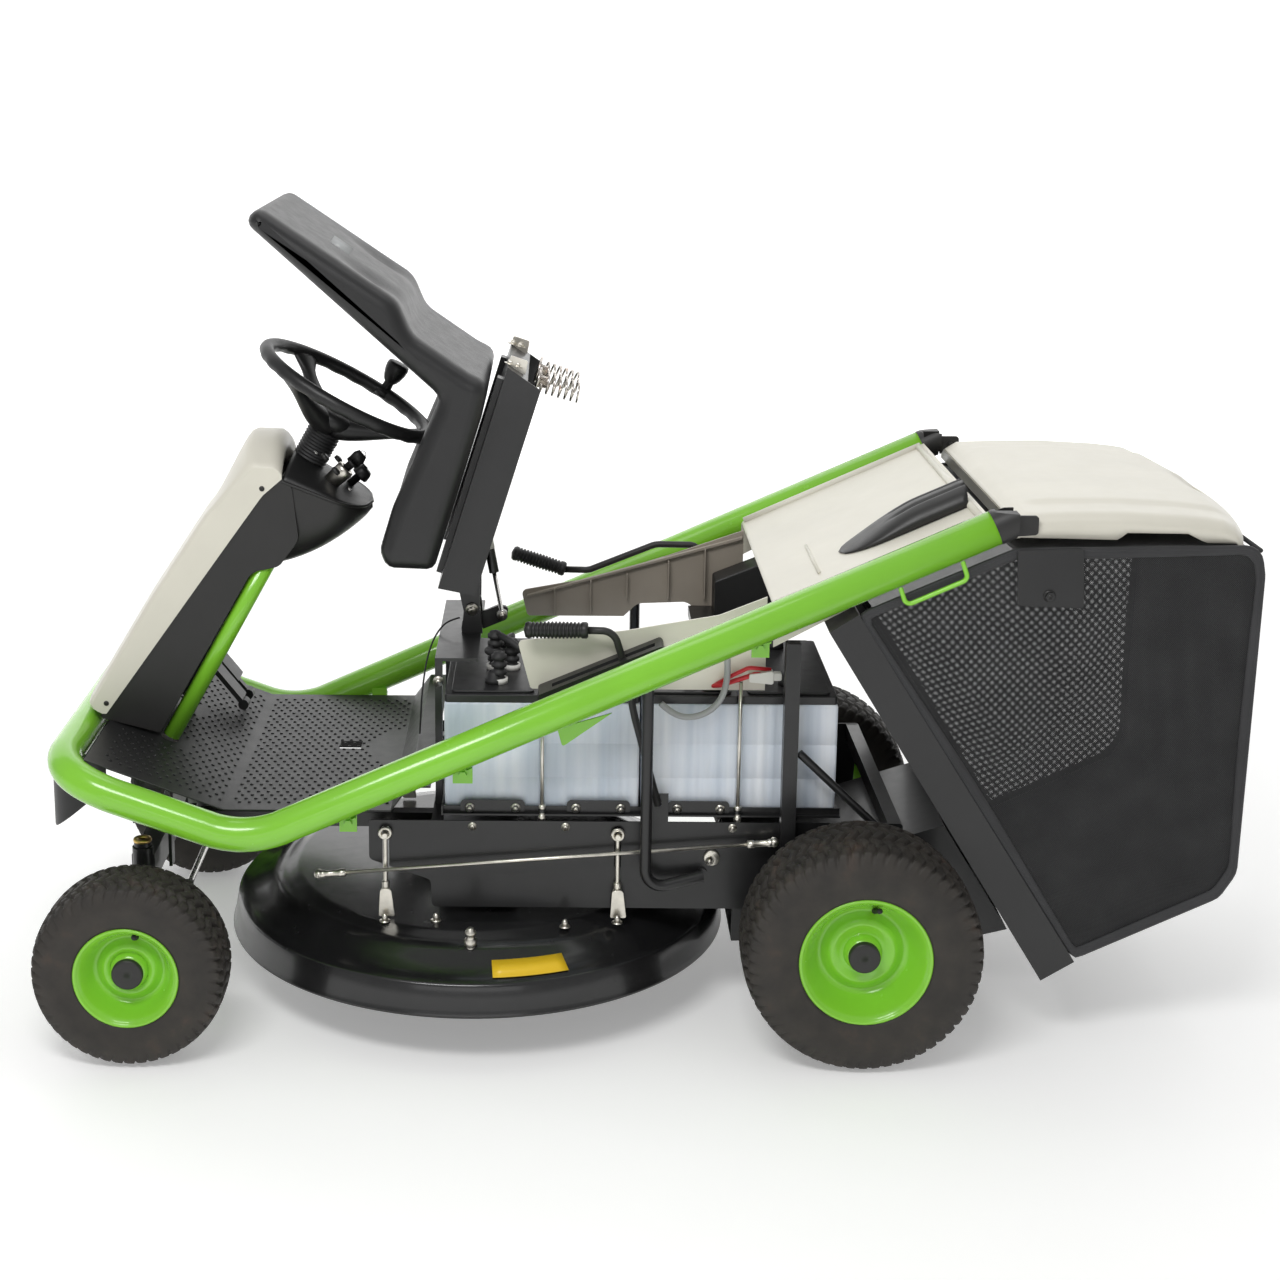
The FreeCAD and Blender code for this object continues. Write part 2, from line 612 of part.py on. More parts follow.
CASE_FRONT = dim("battery_front")
CASE_PITCH = dim("battery_pitch")
NEAR = dim("battery_near_side")
PACK_REAR = CASE_FRONT - 4 * CASE_PITCH - 6
tray = block(PACK_REAR, CASE_FRONT + 3, -PLATE + 6, PLATE - 6, TRAY - GAP - STEEL, TRAY - GAP)
tray = tray.fuse(block(PACK_REAR, CASE_FRONT + 3, NEAR + 3, NEAR + 6, TRAY - 3, TRAY + 10))
tray = tray.fuse(block(CASE_FRONT + GAP, CASE_FRONT + 3, -PLATE + 6, PLATE - 6, TRAY - 3, TRAY + 14))
tray_parts = [tray]
CLIPS = ((571.0, 683.0), (388.0, 498.0), (215.0, 322.0))
for clip_rear, clip_front in CLIPS:
    clip = prism("xz", [(clip_rear, TRAY), (clip_rear, TRAY + 22, 8), (clip_front, TRAY + 22, 8),
                        (clip_front, TRAY)], NEAR + 6 + GAP, NEAR + 9 + GAP)
    tray_parts.append(clip)
    for spot in (clip_rear + 16, clip_front - 16):
        tray_parts.append(hexagon((spot, NEAR + 9 + GAP, TRAY + 8), (0, 1, 0), 10, 6))
RODS = ((541.0, 586.0), (201.0, 624.0))
for spot, top in RODS:
    hold = bar((spot, NEAR + 14, TRAY), (spot, NEAR + 14, top), 3)
    hold = hold.fuse(bar((spot, NEAR + 14, TRAY + 2), (spot, NEAR + 14, TRAY + 12), 6))
    tray_parts.append(hold)
node("battery_tray", shaped("BatteryTray", Part.makeCompound(tray_parts)))

cases = []
lids = []
for index in range(4):
    corner_x = "battery_front - %d*battery_pitch + battery_gap/2 - battery_pitch" % index
    corner_y = "battery_near_side - battery_length"
    size = ("battery_pitch - battery_gap", "battery_length")
    cases.append(box("Case%d" % index, (corner_x, corner_y, "battery_floor"), size + ("battery_case_height",)))
    lids.append(box("Lid%d" % index, (corner_x, corner_y, "battery_floor + battery_case_height"),
                    size + ("battery_lid_height",)))
node("battery_cases", group("BatteryCases", cases))
node("battery_lids", group("BatteryLids", lids))
LID_TOP = TRAY + dim("battery_case_height") + dim("battery_lid_height")

terminals = []
for index in range(4):
    middle = CASE_FRONT - (index + 0.5) * CASE_PITCH
    for across_y in (NEAR - 60, NEAR - 284):
        post = bar((middle, across_y, LID_TOP + GAP), (middle, across_y, LID_TOP + 14), 14)
        terminals.append(post.fuse(bar((middle, across_y, LID_TOP + 14), (middle, across_y, LID_TOP + 20), 9)))
for stack_x, stack_top in ((627.0, 74.0), (597.0, 52.0)):
    boot_stack = Part.makeCylinder(11, stack_top, Vector(stack_x, 104, LID_TOP + GAP))
    for level in range(int(stack_top / 14)):
        boot_stack = boot_stack.fuse(Part.makeTorus(11, 3, Vector(stack_x, 104, LID_TOP + 10 + 14 * level)))
    terminals.append(boot_stack)
terminals.append(block(146, 188, 248, 268, 622, 644).fuse(bar((188, 258, 633), (200, 258, 633), 6)))
node("battery_terminals", shaped("BatteryTerminals", Part.makeCompound(terminals)))

# ---------------------------------------------------------------- supports and electrics
POST_SIDE = 306.0
supports = []
hanger_tube = swept([(362, POST_SIDE, 640), (362, POST_SIDE, 262, 32), (262, POST_SIDE - 22, 280)], 10)
supports.append(hanger_tube.cut(rail_clearance))
supports.append(bar((262, PLATE + GAP, 280), (262, POST_SIDE - 33, 280), 9))
supports.append(block(104, 129, 270, 295, 300, 703))
supports.append(bar((100, 282, 505), (-38, 282, 372), 7).cut(block(104, 129, 270, 295, 300, 703)))
support_set = Part.makeCompound(supports)
spring_rest = block(216, 262, -226, 226, 606, 624)
node("support_posts", shaped("SupportPosts", Part.makeCompound(
    [support_set, mirrored(support_set), spring_rest])))

controller = prism("xz", [(216, TRAY), (216, 690), (97, 738), (97, TRAY)], -226, -160)
node("controller_box", shaped("ControllerBox", controller))

# ---------------------------------------------------------------- side panels, guide and covers
PANEL = dim("panel_side")
PANEL_LOW = LID_TOP + 4
left_outline = [
    (585, 687, 8), (562, PANEL_LOW, 6), (157, PANEL_LOW), (157, 768), (238, 735, 40), (400, 706, 60),
]
left_panel = prism("xz", left_outline, PANEL - 2, PANEL + 2)
node("side_panel_left", shaped("SidePanelLeft", left_panel))
right_outline = [
    (586, 652, 10), (574, PANEL_LOW, 8), (157, PANEL_LOW), (157, 774), (300, 724, 60), (445, 678, 60),
]
arch = [(392, PANEL_LOW - 5), (360, PANEL_LOW + 26, 26), (262, PANEL_LOW + 30, 26), (232, PANEL_LOW - 5)]
right_panel = prism("xz", right_outline, -PANEL - 2, -PANEL + 2).cut(prism("xz", arch, -300, 0))
node("side_panel_right", shaped("SidePanelRight", right_panel))

GUIDE_FRONT, GUIDE_REAR = (545.0, 594.0), (332.0, 684.0)
LEVER = dim("lever_side")
guide = prism("xz", [(GUIDE_FRONT[0], GUIDE_FRONT[1], 6), (GUIDE_REAR[0], GUIDE_REAR[1], 6),
                     (GUIDE_REAR[0] + 6, GUIDE_REAR[1] + 13, 6), (GUIDE_FRONT[0] + 6, GUIDE_FRONT[1] + 13, 6)],
              PANEL + 2 + GAP, 290)
guide = guide.cut(prism("xz", [(525, 560), (350, 560), (350, 720), (525, 720)], LEVER - 9, LEVER + 9))
guide = guide.cut(block(300, 600, 200, NEAR + 1, 500, PANEL_LOW))
node("lever_guide", shaped("LeverGuide", guide))

COVER_HALF = SIDE - TUBE - 2
rear_cover = prism("xz", [(154, rail_height(154) - 56), (154, rail_height(154) + 12, 10),
                          (REAR[0] + 2, rail_height(REAR[0]) + 11), (REAR[0] + 2, rail_height(REAR[0]) - 24)],
                   -COVER_HALF, COVER_HALF)
rear_cover = rear_cover.cut(prism("xz", [(160, rail_height(154) - 60), (160, rail_height(154) + 6),
                                         (REAR[0] + 6, rail_height(REAR[0]) + 6),
                                         (REAR[0] + 6, rail_height(REAR[0]) - 30)],
                                  -COVER_HALF + WALL, COVER_HALF - WALL))
node("rear_cover", shaped("RearCover", rear_cover))

POD = [(30, rail_height(30) + 13), (10, rail_height(10) + 40, 20), (-176, rail_height(-176) + 46, 16),
       (-182, rail_height(-182) + 13)]
pod = prism("xz", POD, 108, 214)
node("cover_pod", shaped("CoverPod", pod))

# ---------------------------------------------------------------- cutting deck
CHUTE = dim("chute_half_width")
DECK_X = dim("deck_middle")
DECK_TOP = dim("deck_top")
DECK_LIP = dim("deck_lip")
DECK = dim("deck_radius")
deck_outline = [
    (DECK - 3, DECK_LIP), (DECK, DECK_LIP), (DECK - 4, DECK_LIP + 52, 6), (DECK - 34, DECK_LIP + 60, 8),
    (DECK - 70, DECK_TOP - 8, 14), (DECK - 96, DECK_TOP, 14), (14, DECK_TOP), (14, DECK_TOP - 3),
    (DECK - 98, DECK_TOP - 3, 12), (DECK - 73, DECK_TOP - 11, 12), (DECK - 37, DECK_LIP + 57, 6),
    (DECK - 7, DECK_LIP + 50, 4),
]
deck_body = doc.addObject("PartDesign::Body", "DeckBody")
deck_sketch = sketched(deck_body, "DeckOutline", "xz", [deck_outline])
deck_turn = deck_body.newObject("PartDesign::Revolution", "DeckTurn")
deck_turn.Profile = deck_sketch
deck_turn.ReferenceAxis = (deck_sketch, ["V_Axis"])
deck_turn.Angle = 360.0
outlet = box("DeckOutlet", ("-deck_radius - 10", "-chute_half_width + 12", "deck_lip + 5"),
             ("120", "2*chute_half_width - 24", "deck_top - deck_lip - 20"))
node("deck_shell", cut("DeckShell", deck_body, outlet), ("deck_middle", "0", "0"))

motor = Part.makeCylinder(74, 120, Vector(DECK_X, 0, DECK_TOP + GAP))
motor = motor.fuse(Part.makeCylinder(92, 12, Vector(DECK_X, 0, DECK_TOP + GAP)))
motor = motor.cut(Part.makeCylinder(12 + GAP, 60, Vector(DECK_X, 0, DECK_TOP - 10)))
node("blade_motor", shaped("BladeMotor", motor))

BLADE_HEIGHT = 122.0
BLADE_HALF = dim("blade_length") / 2
blade = prism("xy", [(-BLADE_HALF, -32, 6), (BLADE_HALF, -32, 6), (BLADE_HALF, 32, 6), (-BLADE_HALF, 32, 6)],
              BLADE_HEIGHT, BLADE_HEIGHT + 6)
for side in (1.0, -1.0):
    lift_low, lift_high = sorted((side * (BLADE_HALF - 110), side * (BLADE_HALF - 12)))
    blade = blade.fuse(block(lift_low, lift_high, side * 32 - 3, side * 32 + 3, BLADE_HEIGHT, BLADE_HEIGHT + 24))
blade = blade.fuse(Part.makeCylinder(30, 22, Vector(0, 0, BLADE_HEIGHT - 10)))
blade = blade.fuse(Part.makeCylinder(12, 110, Vector(0, 0, BLADE_HEIGHT)))
node("cutting_blade", shaped("CuttingBlade", blade), ("deck_middle", "0", "0"))

HANGER_SIDE = 276.0
hangers = []
for station in HANGER_STATIONS:
    link = bar((station, HANGER_SIDE, 252), (station, HANGER_SIDE, 350), 4)
    link = link.fuse(bar((station, HANGER_SIDE - 5, 350), (station, HANGER_SIDE + 5, 350), 9))
    link = link.fuse(bar((station, HANGER_SIDE - 5, 250), (station, HANGER_SIDE + 7 - GAP, 250), 9))
    link = link.fuse(bar((station, PLATE - 18, 350), (station, HANGER_SIDE, 350), 4.5))
    hangers.append(link)
    lug_low = DECK_TOP + GAP
    lug = block(station - 34, station + 22, HANGER_SIDE + 7, HANGER_SIDE + 25, lug_low, 214)
    lug = lug.fuse(block(station - 20, station + 16, HANGER_SIDE + 7, HANGER_SIDE + 12, lug_low, 262))
    hangers.append(lug)
hanger_set = Part.makeCompound(hangers)
fitting = Part.makeCylinder(9, 24, Vector(661, 330, DECK_TOP + GAP))
fitting = fitting.fuse(Part.makeCylinder(13, 8, Vector(661, 330, DECK_TOP + GAP + 20)))
node("deck_hangers", shaped("DeckHangers", Part.makeCompound([hanger_set, mirrored(hanger_set), fitting])))

ROD_SIDE = 288.0
link_rod = bar((928, ROD_SIDE, 279), (139, ROD_SIDE, 344), 3.5)
for spot in ((928, ROD_SIDE, 279), (139, ROD_SIDE, 344)):
    link_rod = link_rod.fuse(Part.makeSphere(7.5, Vector(*spot)))
node("lift_link_rod", shaped("LiftLinkRod", link_rod))

# ---------------------------------------------------------------- discharge chute
chute_outer = [(198, 104), (198, 208, 10), (120, 232, 30), (-222, 344), (-306, 206), (-306, 132), (-250, 118)]
chute_inner = [(210, 107), (210, 205, 10), (119, 228, 30), (-240, 345), (-312, 206), (-312, 135), (-250, 121)]
chute = prism("xz", chute_outer, -CHUTE, CHUTE)
chute = chute.cut(prism("xz", chute_inner, -CHUTE + STEEL, CHUTE - STEEL))
chute_plane = prism("xz", [(66 + 12, 741), (-318 + 12, 122), (-318 + 12, 60), (-700, 60), (-700, 760)], -400, 400)
chute = chute.cut(chute_plane)
node("discharge_chute", shaped("DischargeChute", chute))

# ---------------------------------------------------------------- tipping grass box
BOX = dim("box_half_width")
frame_side_outline = [(18, 772), (66, 741), (-318, 122), (-374, 157)]
CHANNEL = 24.0
channel = prism("xz", frame_side_outline, BOX - CHANNEL, BOX + 2)
channel = channel.cut(prism("xz", [(12, 762), (58, 732), (-312, 136), (-362, 168)], BOX - CHANNEL - 5, BOX - 6))
top_bar = prism("xz", [(18, 772), (66, 741), (50, 716), (2, 746)], -BOX + CHANNEL, BOX - CHANNEL)
low_bar = prism("xz", [(-349, 196), (-294, 161), (-318, 122), (-374, 157)], -BOX + CHANNEL, BOX - CHANNEL)
box_frame = channel.multiFuse([mirrored(channel), top_bar, low_bar])
hinge_plate = prism("xz", [(-238, 884, 4), (-346, 888, 4), (-352, 786, 6), (-242, 790, 6)],
                    BOX + GAP, BOX + 3 + GAP)
hinge_bolt = hexagon((-294, BOX + 3 + GAP, 807), (0, 1, 0), 14, 7)
hinges = both(Part.makeCompound([hinge_plate, hinge_bolt]))
node("box_frame", shaped("BoxFrame", Part.makeCompound([box_frame, hinges])))

BAG_WALL = 4.0
bag_outline = [
    (16, 770), (-236, 882), (-636, 890, 14), (-645, 842, 20), (-638, 320, 22), (-612, 277, 16), (-375, 164),
]
bag_inside = [
    (60, 756), (-10, 773), (-238, 876), (-632, 884, 12), (-640, 842, 18), (-633, 322, 18), (-609, 283, 14),
    (-372, 170), (-330, 150),
]
ridge_half = prism("xz", [(18 - GAP, 772), (-374 - GAP, 157), (-374, 60), (200, 60), (200, 772)], -500, 500)
bag = prism("xz", bag_outline, -BOX, BOX)
bag = bag.cut(prism("xz", bag_inside, -BOX + BAG_WALL, BOX - BAG_WALL)).cut(ridge_half)
node("box_bag", shaped("BoxBag", bag))

lid_outline = [(-238, 894), (-238, 926, 12), (-262, 942, 24), (-420, 946, 300), (-612, 932, 20), (-662, 904, 12),
               (-658, 894)]
lid_inside = [(-242, 890), (-242, 924, 9), (-262, 938, 20), (-420, 942, 300), (-610, 928, 16), (-656, 902, 8),
              (-652, 890)]
lid = prism("xz", lid_outline, -LID, LID).cut(prism("xz", lid_inside, -LID + WALL, LID - WALL))
lid = lid.cut(bar((PIVOT[0], -400, PIVOT[1]), (PIVOT[0], 400, PIVOT[1]), 5 + GAP))
node("box_lid", shaped("BoxLid", lid))

# ---------------------------------------------------------------- levers and pedals
lever_path = [
    (LEVER_PIVOT[0], PLATE + 8, LEVER_PIVOT[1]), (382, LEVER + 4, 560, 60), (405, LEVER, 665, 40),
    (420, LEVER, 715, 26), (466, LEVER, 716),
]
height_lever = swept(lever_path, 6.5)
height_lever = height_lever.fuse(bar((LEVER_PIVOT[0], PLATE + GAP, LEVER_PIVOT[1]),
                                     (LEVER_PIVOT[0], PLATE + 14, LEVER_PIVOT[1]), 14))
height_lever = height_lever.fuse(bar((LEVER_PIVOT[0], PLATE - 8, LEVER_PIVOT[1]),
                                     (LEVER_PIVOT[0], PLATE + 4, LEVER_PIVOT[1]), 6))
height_grip = bar((466 + GAP, LEVER, 716), (574, LEVER, 716), 15)
node("height_lever", shaped("HeightLever", Part.makeCompound([height_lever, height_grip])))

TIP_PIVOT = (215.0, 700.0)
tip_path = [
    (TIP_PIVOT[0], -LEVER, TIP_PIVOT[1]), (250, -LEVER, 736, 20), (325, -LEVER, 737, 40), (455, -LEVER, 684, 30),
    (500, -LEVER, 685),
]
tip_lever = swept(tip_path, 6.5)
tip_lever = tip_lever.fuse(bar((TIP_PIVOT[0], -PANEL - 2 - GAP, TIP_PIVOT[1]),
                               (TIP_PIVOT[0], -LEVER - 8, TIP_PIVOT[1]), 13))
tip_grip = bar((503, -LEVER, 686), (606, -LEVER, 719), 15)
node("tip_lever", shaped("TipLever", Part.makeCompound([tip_lever, tip_grip])))

PEDAL_AXLE = (1118.0, 446.0)
for name, low, high, reach in (("forward", -236.0, -180.0, 96.0), ("reverse", -168.0, -122.0, 70.0)):
    middle = (low + high) / 2
    foot = Vector(PEDAL_AXLE[0], 0, PEDAL_AXLE[1])
    pad_way = Vector(0.62, 0, 0.785)
    pad_side = Vector(-0.785, 0, 0.62)
    first = foot + pad_way * (reach - 62)
    last = foot + pad_way * (reach + 26)
    pad_line = [first, last, last + pad_side * 9, first + pad_side * 9]
    pedal = prism("xz", [(p.x, p.z, 3) for p in pad_line], low, high)
    pedal = pedal.fuse(prism("xz", [(foot.x - 6, foot.z), (foot.x + 6, foot.z), (first.x + 14, first.z + 12),
                                    (first.x, first.z + 6)], middle - 8, middle + 8))
    pedal = pedal.fuse(bar((foot.x, middle - 12, foot.z), (foot.x, middle + 12, foot.z), 10))
    node("pedal_" + name, shaped("Pedal" + name.title(), pedal))

# ---------------------------------------------------------------- seat, hinge and strut
HINGE = (671.0, 690.0)
STRUT_FOOT = Vector(617, 14, 672)
STRUT_HEAD = Vector(650, 14, 850)
bracket_parts = []
for side in SIDES.values():
    low, high = sorted((side * 160, side * 190))
    bracket_parts.append(block(CASE_FRONT + 5, CASE_FRONT + 17, low, high, 371 + GAP, 636))
bridge = block(655, CASE_FRONT + 17, -190, 190, 636, 642)
for side in SIDES.values():
    low, high = sorted((side * 30, side * 36))
    bridge = bridge.fuse(prism("xz", [(652, 642), (690, 642), (685, 700, 12), (657, 700, 12)], low, high))
arm = prism("xz", [(660, 642), (692, 642), (690, 658, 6), (625, 686, 8), (606, 684, 8), (608, 660, 8), (650, 642)],
            -4, 4)
bridge = bridge.fuse(arm).fuse(bar((617, -6, 672), (617, 22, 672), 4))
bridge = bridge.cut(bar((HINGE[0], -60, HINGE[1]), (HINGE[0], 60, HINGE[1]), 6 + GAP))
node("seat_bracket", shaped("SeatBracket", Part.makeCompound([bridge.multiFuse(bracket_parts)])))

PAN = dim("pan_half_width")
PAN_FRONT, PAN_REAR = Vector(726, 0, 759), Vector(661, 0, 746)
UP = Vector(-0.297, 0, 0.955)
AHEAD = Vector(0.955, 0, 0.297)
PAN_LENGTH = 410.0
far_front, far_rear = PAN_FRONT + UP * PAN_LENGTH, PAN_REAR + UP * 382
pan = prism("xz", [(p.x, p.z) for p in (PAN_FRONT, far_front, far_rear, PAN_REAR)], -PAN, PAN)
hollow = [PAN_FRONT + UP * 4 - AHEAD * 3, far_front - UP * 4 - AHEAD * 3, far_rear - UP * 5 - AHEAD * 30,
          PAN_REAR + UP * 5 - AHEAD * 30]
pan = pan.cut(prism("xz", [(p.x, p.z) for p in hollow], -PAN + 3, PAN - 3))
leg_parts = []
for side in SIDES.values():
    low, high = sorted((side * (36 + GAP), side * 42))
    leg_parts.append(prism("xz", [(706, 778), (656, 764), (657, 680, 10), (685, 680, 10)], low, high))
leg_parts.append(bar((HINGE[0], -46, HINGE[1]), (HINGE[0], 46, HINGE[1]), 6))
leg_parts.append(prism("xz", [(700, 840), (694, 870), (644, 862, 8), (642, 842, 8)], 24, 29))
leg_parts.append(bar((STRUT_HEAD.x, 26, STRUT_HEAD.z), (STRUT_HEAD.x, 33, STRUT_HEAD.z), 6))
pan = pan.multiFuse(leg_parts)

rails = []
for side in SIDES.values():
    low, high = sorted((side * 104, side * 134))
    line = [PAN_FRONT + UP * 22 + AHEAD * GAP, PAN_FRONT + UP * 384 + AHEAD * GAP,
            PAN_FRONT + UP * 384 + AHEAD * 11, PAN_FRONT + UP * 22 + AHEAD * 11]
    rails.append(prism("xz", [(p.x, p.z) for p in line], low, high))
node("seat_pan", shaped("SeatPan", Part.makeCompound([pan] + rails)))

SEAT = dim("seat_half_width")
seat_outline = [
    (812, 806, 14), (823, 832, 22), (800, 912, 90), (718, 1102, 18), (728, 1114, 10), (1043, 1399, 12),
    (1020, 1426, 14), (790, 1272, 40), (764, 1212, 40), (668, 1146, 40), (632, 1130, 6), (729, 801, 10),
]
seat = prism("xz", seat_outline, -SEAT, SEAT)
seat = seat.cut(prism("xz", [(870, 856), (795, 846, 14), (674, 1104, 26), (948, 1350, 26), (1010, 1340)],
                      -SEAT + 62, SEAT - 62))
node("seat_shell", shaped("SeatShell", seat))

coils = []
SPRING_SIDE = 60.0
COIL_TURNS = 6
COIL_PITCH = 11.5
COIL_RADIUS = 19.0
for side in SIDES.values():
    foot = Vector(551, side * SPRING_SIDE, 1112)
    helix = Part.makeHelix(COIL_PITCH, COIL_PITCH * COIL_TURNS, COIL_RADIUS)
    section = Part.Wire(Part.makeCircle(2.3, Vector(COIL_RADIUS, 0, 0), Vector(0, 1, 0)))
    coil = Part.Wire(helix).makePipeShell([section], True, True)
    seat_disc = Part.makeCylinder(23, 5, Vector(0, 0, -8))
    spigot = Part.makeCylinder(10, 14, Vector(0, 0, -4))
    for piece in (coil, seat_disc.fuse(spigot)):
        piece.Placement = Placement(foot - AHEAD * 4, Rotation(Vector(0, 0, 1), AHEAD * -1))
        coils.append(piece)
node("seat_springs", shaped("SeatSprings", Part.makeCompound(coils)))

STRUT = (STRUT_HEAD - STRUT_FOOT).normalize()
strut_rod = Part.makeCylinder(4, 86, STRUT_FOOT + STRUT * 9, STRUT)
eye = bar((STRUT_FOOT.x, 9, STRUT_FOOT.z), (STRUT_FOOT.x, 19, STRUT_FOOT.z), 10)
strut_rod = strut_rod.fuse(eye).cut(bar((617, 0, 672), (617, 30, 672), 4 + GAP))
node("strut_rod", shaped("StrutRod", strut_rod))
strut_tube = Part.makeCylinder(9, 92, STRUT_HEAD - STRUT * 100, STRUT)
strut_tube = strut_tube.cut(Part.makeCylinder(4 + GAP, 88, STRUT_HEAD - STRUT * 101, STRUT))
strut_tube = strut_tube.fuse(bar((STRUT_HEAD.x, 9, STRUT_HEAD.z), (STRUT_HEAD.x, 19, STRUT_HEAD.z), 7))
strut_tube = strut_tube.fuse(bar((STRUT_HEAD.x, 6, STRUT_HEAD.z), (STRUT_HEAD.x, 23, STRUT_HEAD.z), 3.6))
node("strut_cylinder", shaped("StrutCylinder", strut_tube))

# ---------------------------------------------------------------- loose cable and hose


def cord(label, route, radius):
    """A tube of straight runs and arcs as large as the runs allow; prints its smallest radius."""
    points = [Vector(*p) for p in route]
    rounded_route = [tuple(route[0])]
    smallest = 1e9
    for before, here, after in zip(points, points[1:], points[2:]):
        turn = (here - before).getAngle(after - here)
        run = min((here - before).Length, (after - here).Length)
        bend = 0.45 * run / math.tan(turn / 2.0)
        smallest = min(smallest, bend)
        rounded_route.append((here.x, here.y, here.z, bend))
    rounded_route.append(tuple(route[-1]))
    tube = swept(rounded_route, radius)
    path = Part.Wire([piece.toShape() for piece in rounded(rounded_route, closed=False)])
    expected = path.Length * math.pi * radius * radius
    print("%s: length %.1f, smallest radius %.1f, volume %.4f of expected" % (
        label, path.Length, smallest, tube.Volume / expected))
    node(label, shaped(label.title().replace("_", ""), tube))


cord("seat_switch_cable", [
    (694, 24, 668), (712, 27, 664), (728, 32, 652), (742, 38, 630), (752, 45, 600), (758, 52, 566),
    (762, 57, 530), (764, 60, 494), (766, 61, 458),
], dim("cable_radius"))
cord("vent_hose", [
    (226, 262, 672), (225, 263, 650), (226, 265, 626), (232, 267, 602), (247, 268, 580), (270, 268, 566),
    (296, 267, 562), (320, 265, 570), (338, 263, 586),
], dim("hose_radius"))

doc.recompute()
os.makedirs("parts", exist_ok=True)
faults = []
for thing in doc.Objects:
    if "Invalid" in thing.State or "Error" in thing.State:
        faults.append("%s: %s" % (thing.Label, thing.State))
for thing in NODES:
    if thing.Shape.isNull() or not thing.Shape.isValid() or not thing.Shape.Solids:
        faults.append("%s: bad shape" % thing.Label)
if faults:
    raise RuntimeError("; ".join(faults))
for thing in NODES:
    thing.Shape.exportStep("parts/%s.step" % thing.Label)
print("%d sub-parts written" % len(NODES))
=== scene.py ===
import math

import bpy
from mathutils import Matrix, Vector


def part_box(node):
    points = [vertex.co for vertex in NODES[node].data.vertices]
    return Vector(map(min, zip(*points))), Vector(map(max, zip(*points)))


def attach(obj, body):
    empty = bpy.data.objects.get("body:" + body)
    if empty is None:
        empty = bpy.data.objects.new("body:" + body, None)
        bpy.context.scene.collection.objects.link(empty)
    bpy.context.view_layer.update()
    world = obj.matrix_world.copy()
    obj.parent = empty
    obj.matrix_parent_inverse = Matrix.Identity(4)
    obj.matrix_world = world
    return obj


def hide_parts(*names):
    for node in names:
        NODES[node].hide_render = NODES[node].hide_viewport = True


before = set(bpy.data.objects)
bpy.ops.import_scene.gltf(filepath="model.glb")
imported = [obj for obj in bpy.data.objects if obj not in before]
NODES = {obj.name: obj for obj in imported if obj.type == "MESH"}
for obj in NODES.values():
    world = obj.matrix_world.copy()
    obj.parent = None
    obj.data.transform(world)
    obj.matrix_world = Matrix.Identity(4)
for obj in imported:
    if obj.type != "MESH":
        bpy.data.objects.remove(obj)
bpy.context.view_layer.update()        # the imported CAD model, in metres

MM = 0.001


# ---------------------------------------------------------------- places
def middle(node):
    low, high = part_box(node)
    return Vector([(a + b) / 2 for a, b in zip(low, high)])


AXLE_X = middle("rim_rear_left").x        # the rear axle's place along the machine


def at(x, y, z):
    """A point given in millimetres from the ground under the rear axle, as the design's numbers are."""
    return Vector((AXLE_X + x * MM, y * MM, z * MM))


# ---------------------------------------------------------------- materials
def new_material(name):
    made = bpy.data.materials.new(name)
    made.use_nodes = True
    return made, made.node_tree.nodes, made.node_tree.links, made.node_tree.nodes["Principled BSDF"]


def noise(nodes, links, scale, detail=4.0, stretch=None):
    """A noise pattern fixed to the piece, in cycles per metre."""
    place = nodes.new("ShaderNodeTexCoord")
    pattern = nodes.new("ShaderNodeTexNoise")
    pattern.inputs["Scale"].default_value = scale
    pattern.inputs["Detail"].default_value = detail
    if stretch:
        squeeze = nodes.new("ShaderNodeMapping")
        squeeze.inputs["Scale"].default_value = stretch
        links.new(place.outputs["Object"], squeeze.inputs["Vector"])
        links.new(squeeze.outputs["Vector"], pattern.inputs["Vector"])
    else:
        links.new(place.outputs["Object"], pattern.inputs["Vector"])
    return pattern


def ramp(nodes, links, source, stops):
    """A colour ramp on a pattern's factor; stops are (place, colour)."""
    made = nodes.new("ShaderNodeValToRGB")
    while len(made.color_ramp.elements) < len(stops):
        made.color_ramp.elements.new(0.5)
    for element, (place, colour) in zip(made.color_ramp.elements, stops):
        element.position = place
        element.color = tuple(colour) + (1.0,)
    links.new(source, made.inputs["Fac"])
    return made


def shade(colour, factor):
    return tuple(min(1.0, c * factor) for c in colour)


def bump(nodes, links, shader, height, strength, distance):
    made = nodes.new("ShaderNodeBump")
    made.inputs["Strength"].default_value = strength
    made.inputs["Distance"].default_value = distance
    links.new(height, made.inputs["Height"])
    links.new(made.outputs["Normal"], shader.inputs["Normal"])


GLOSS_SPREAD = 0.08                       # how far a finish's roughness wanders


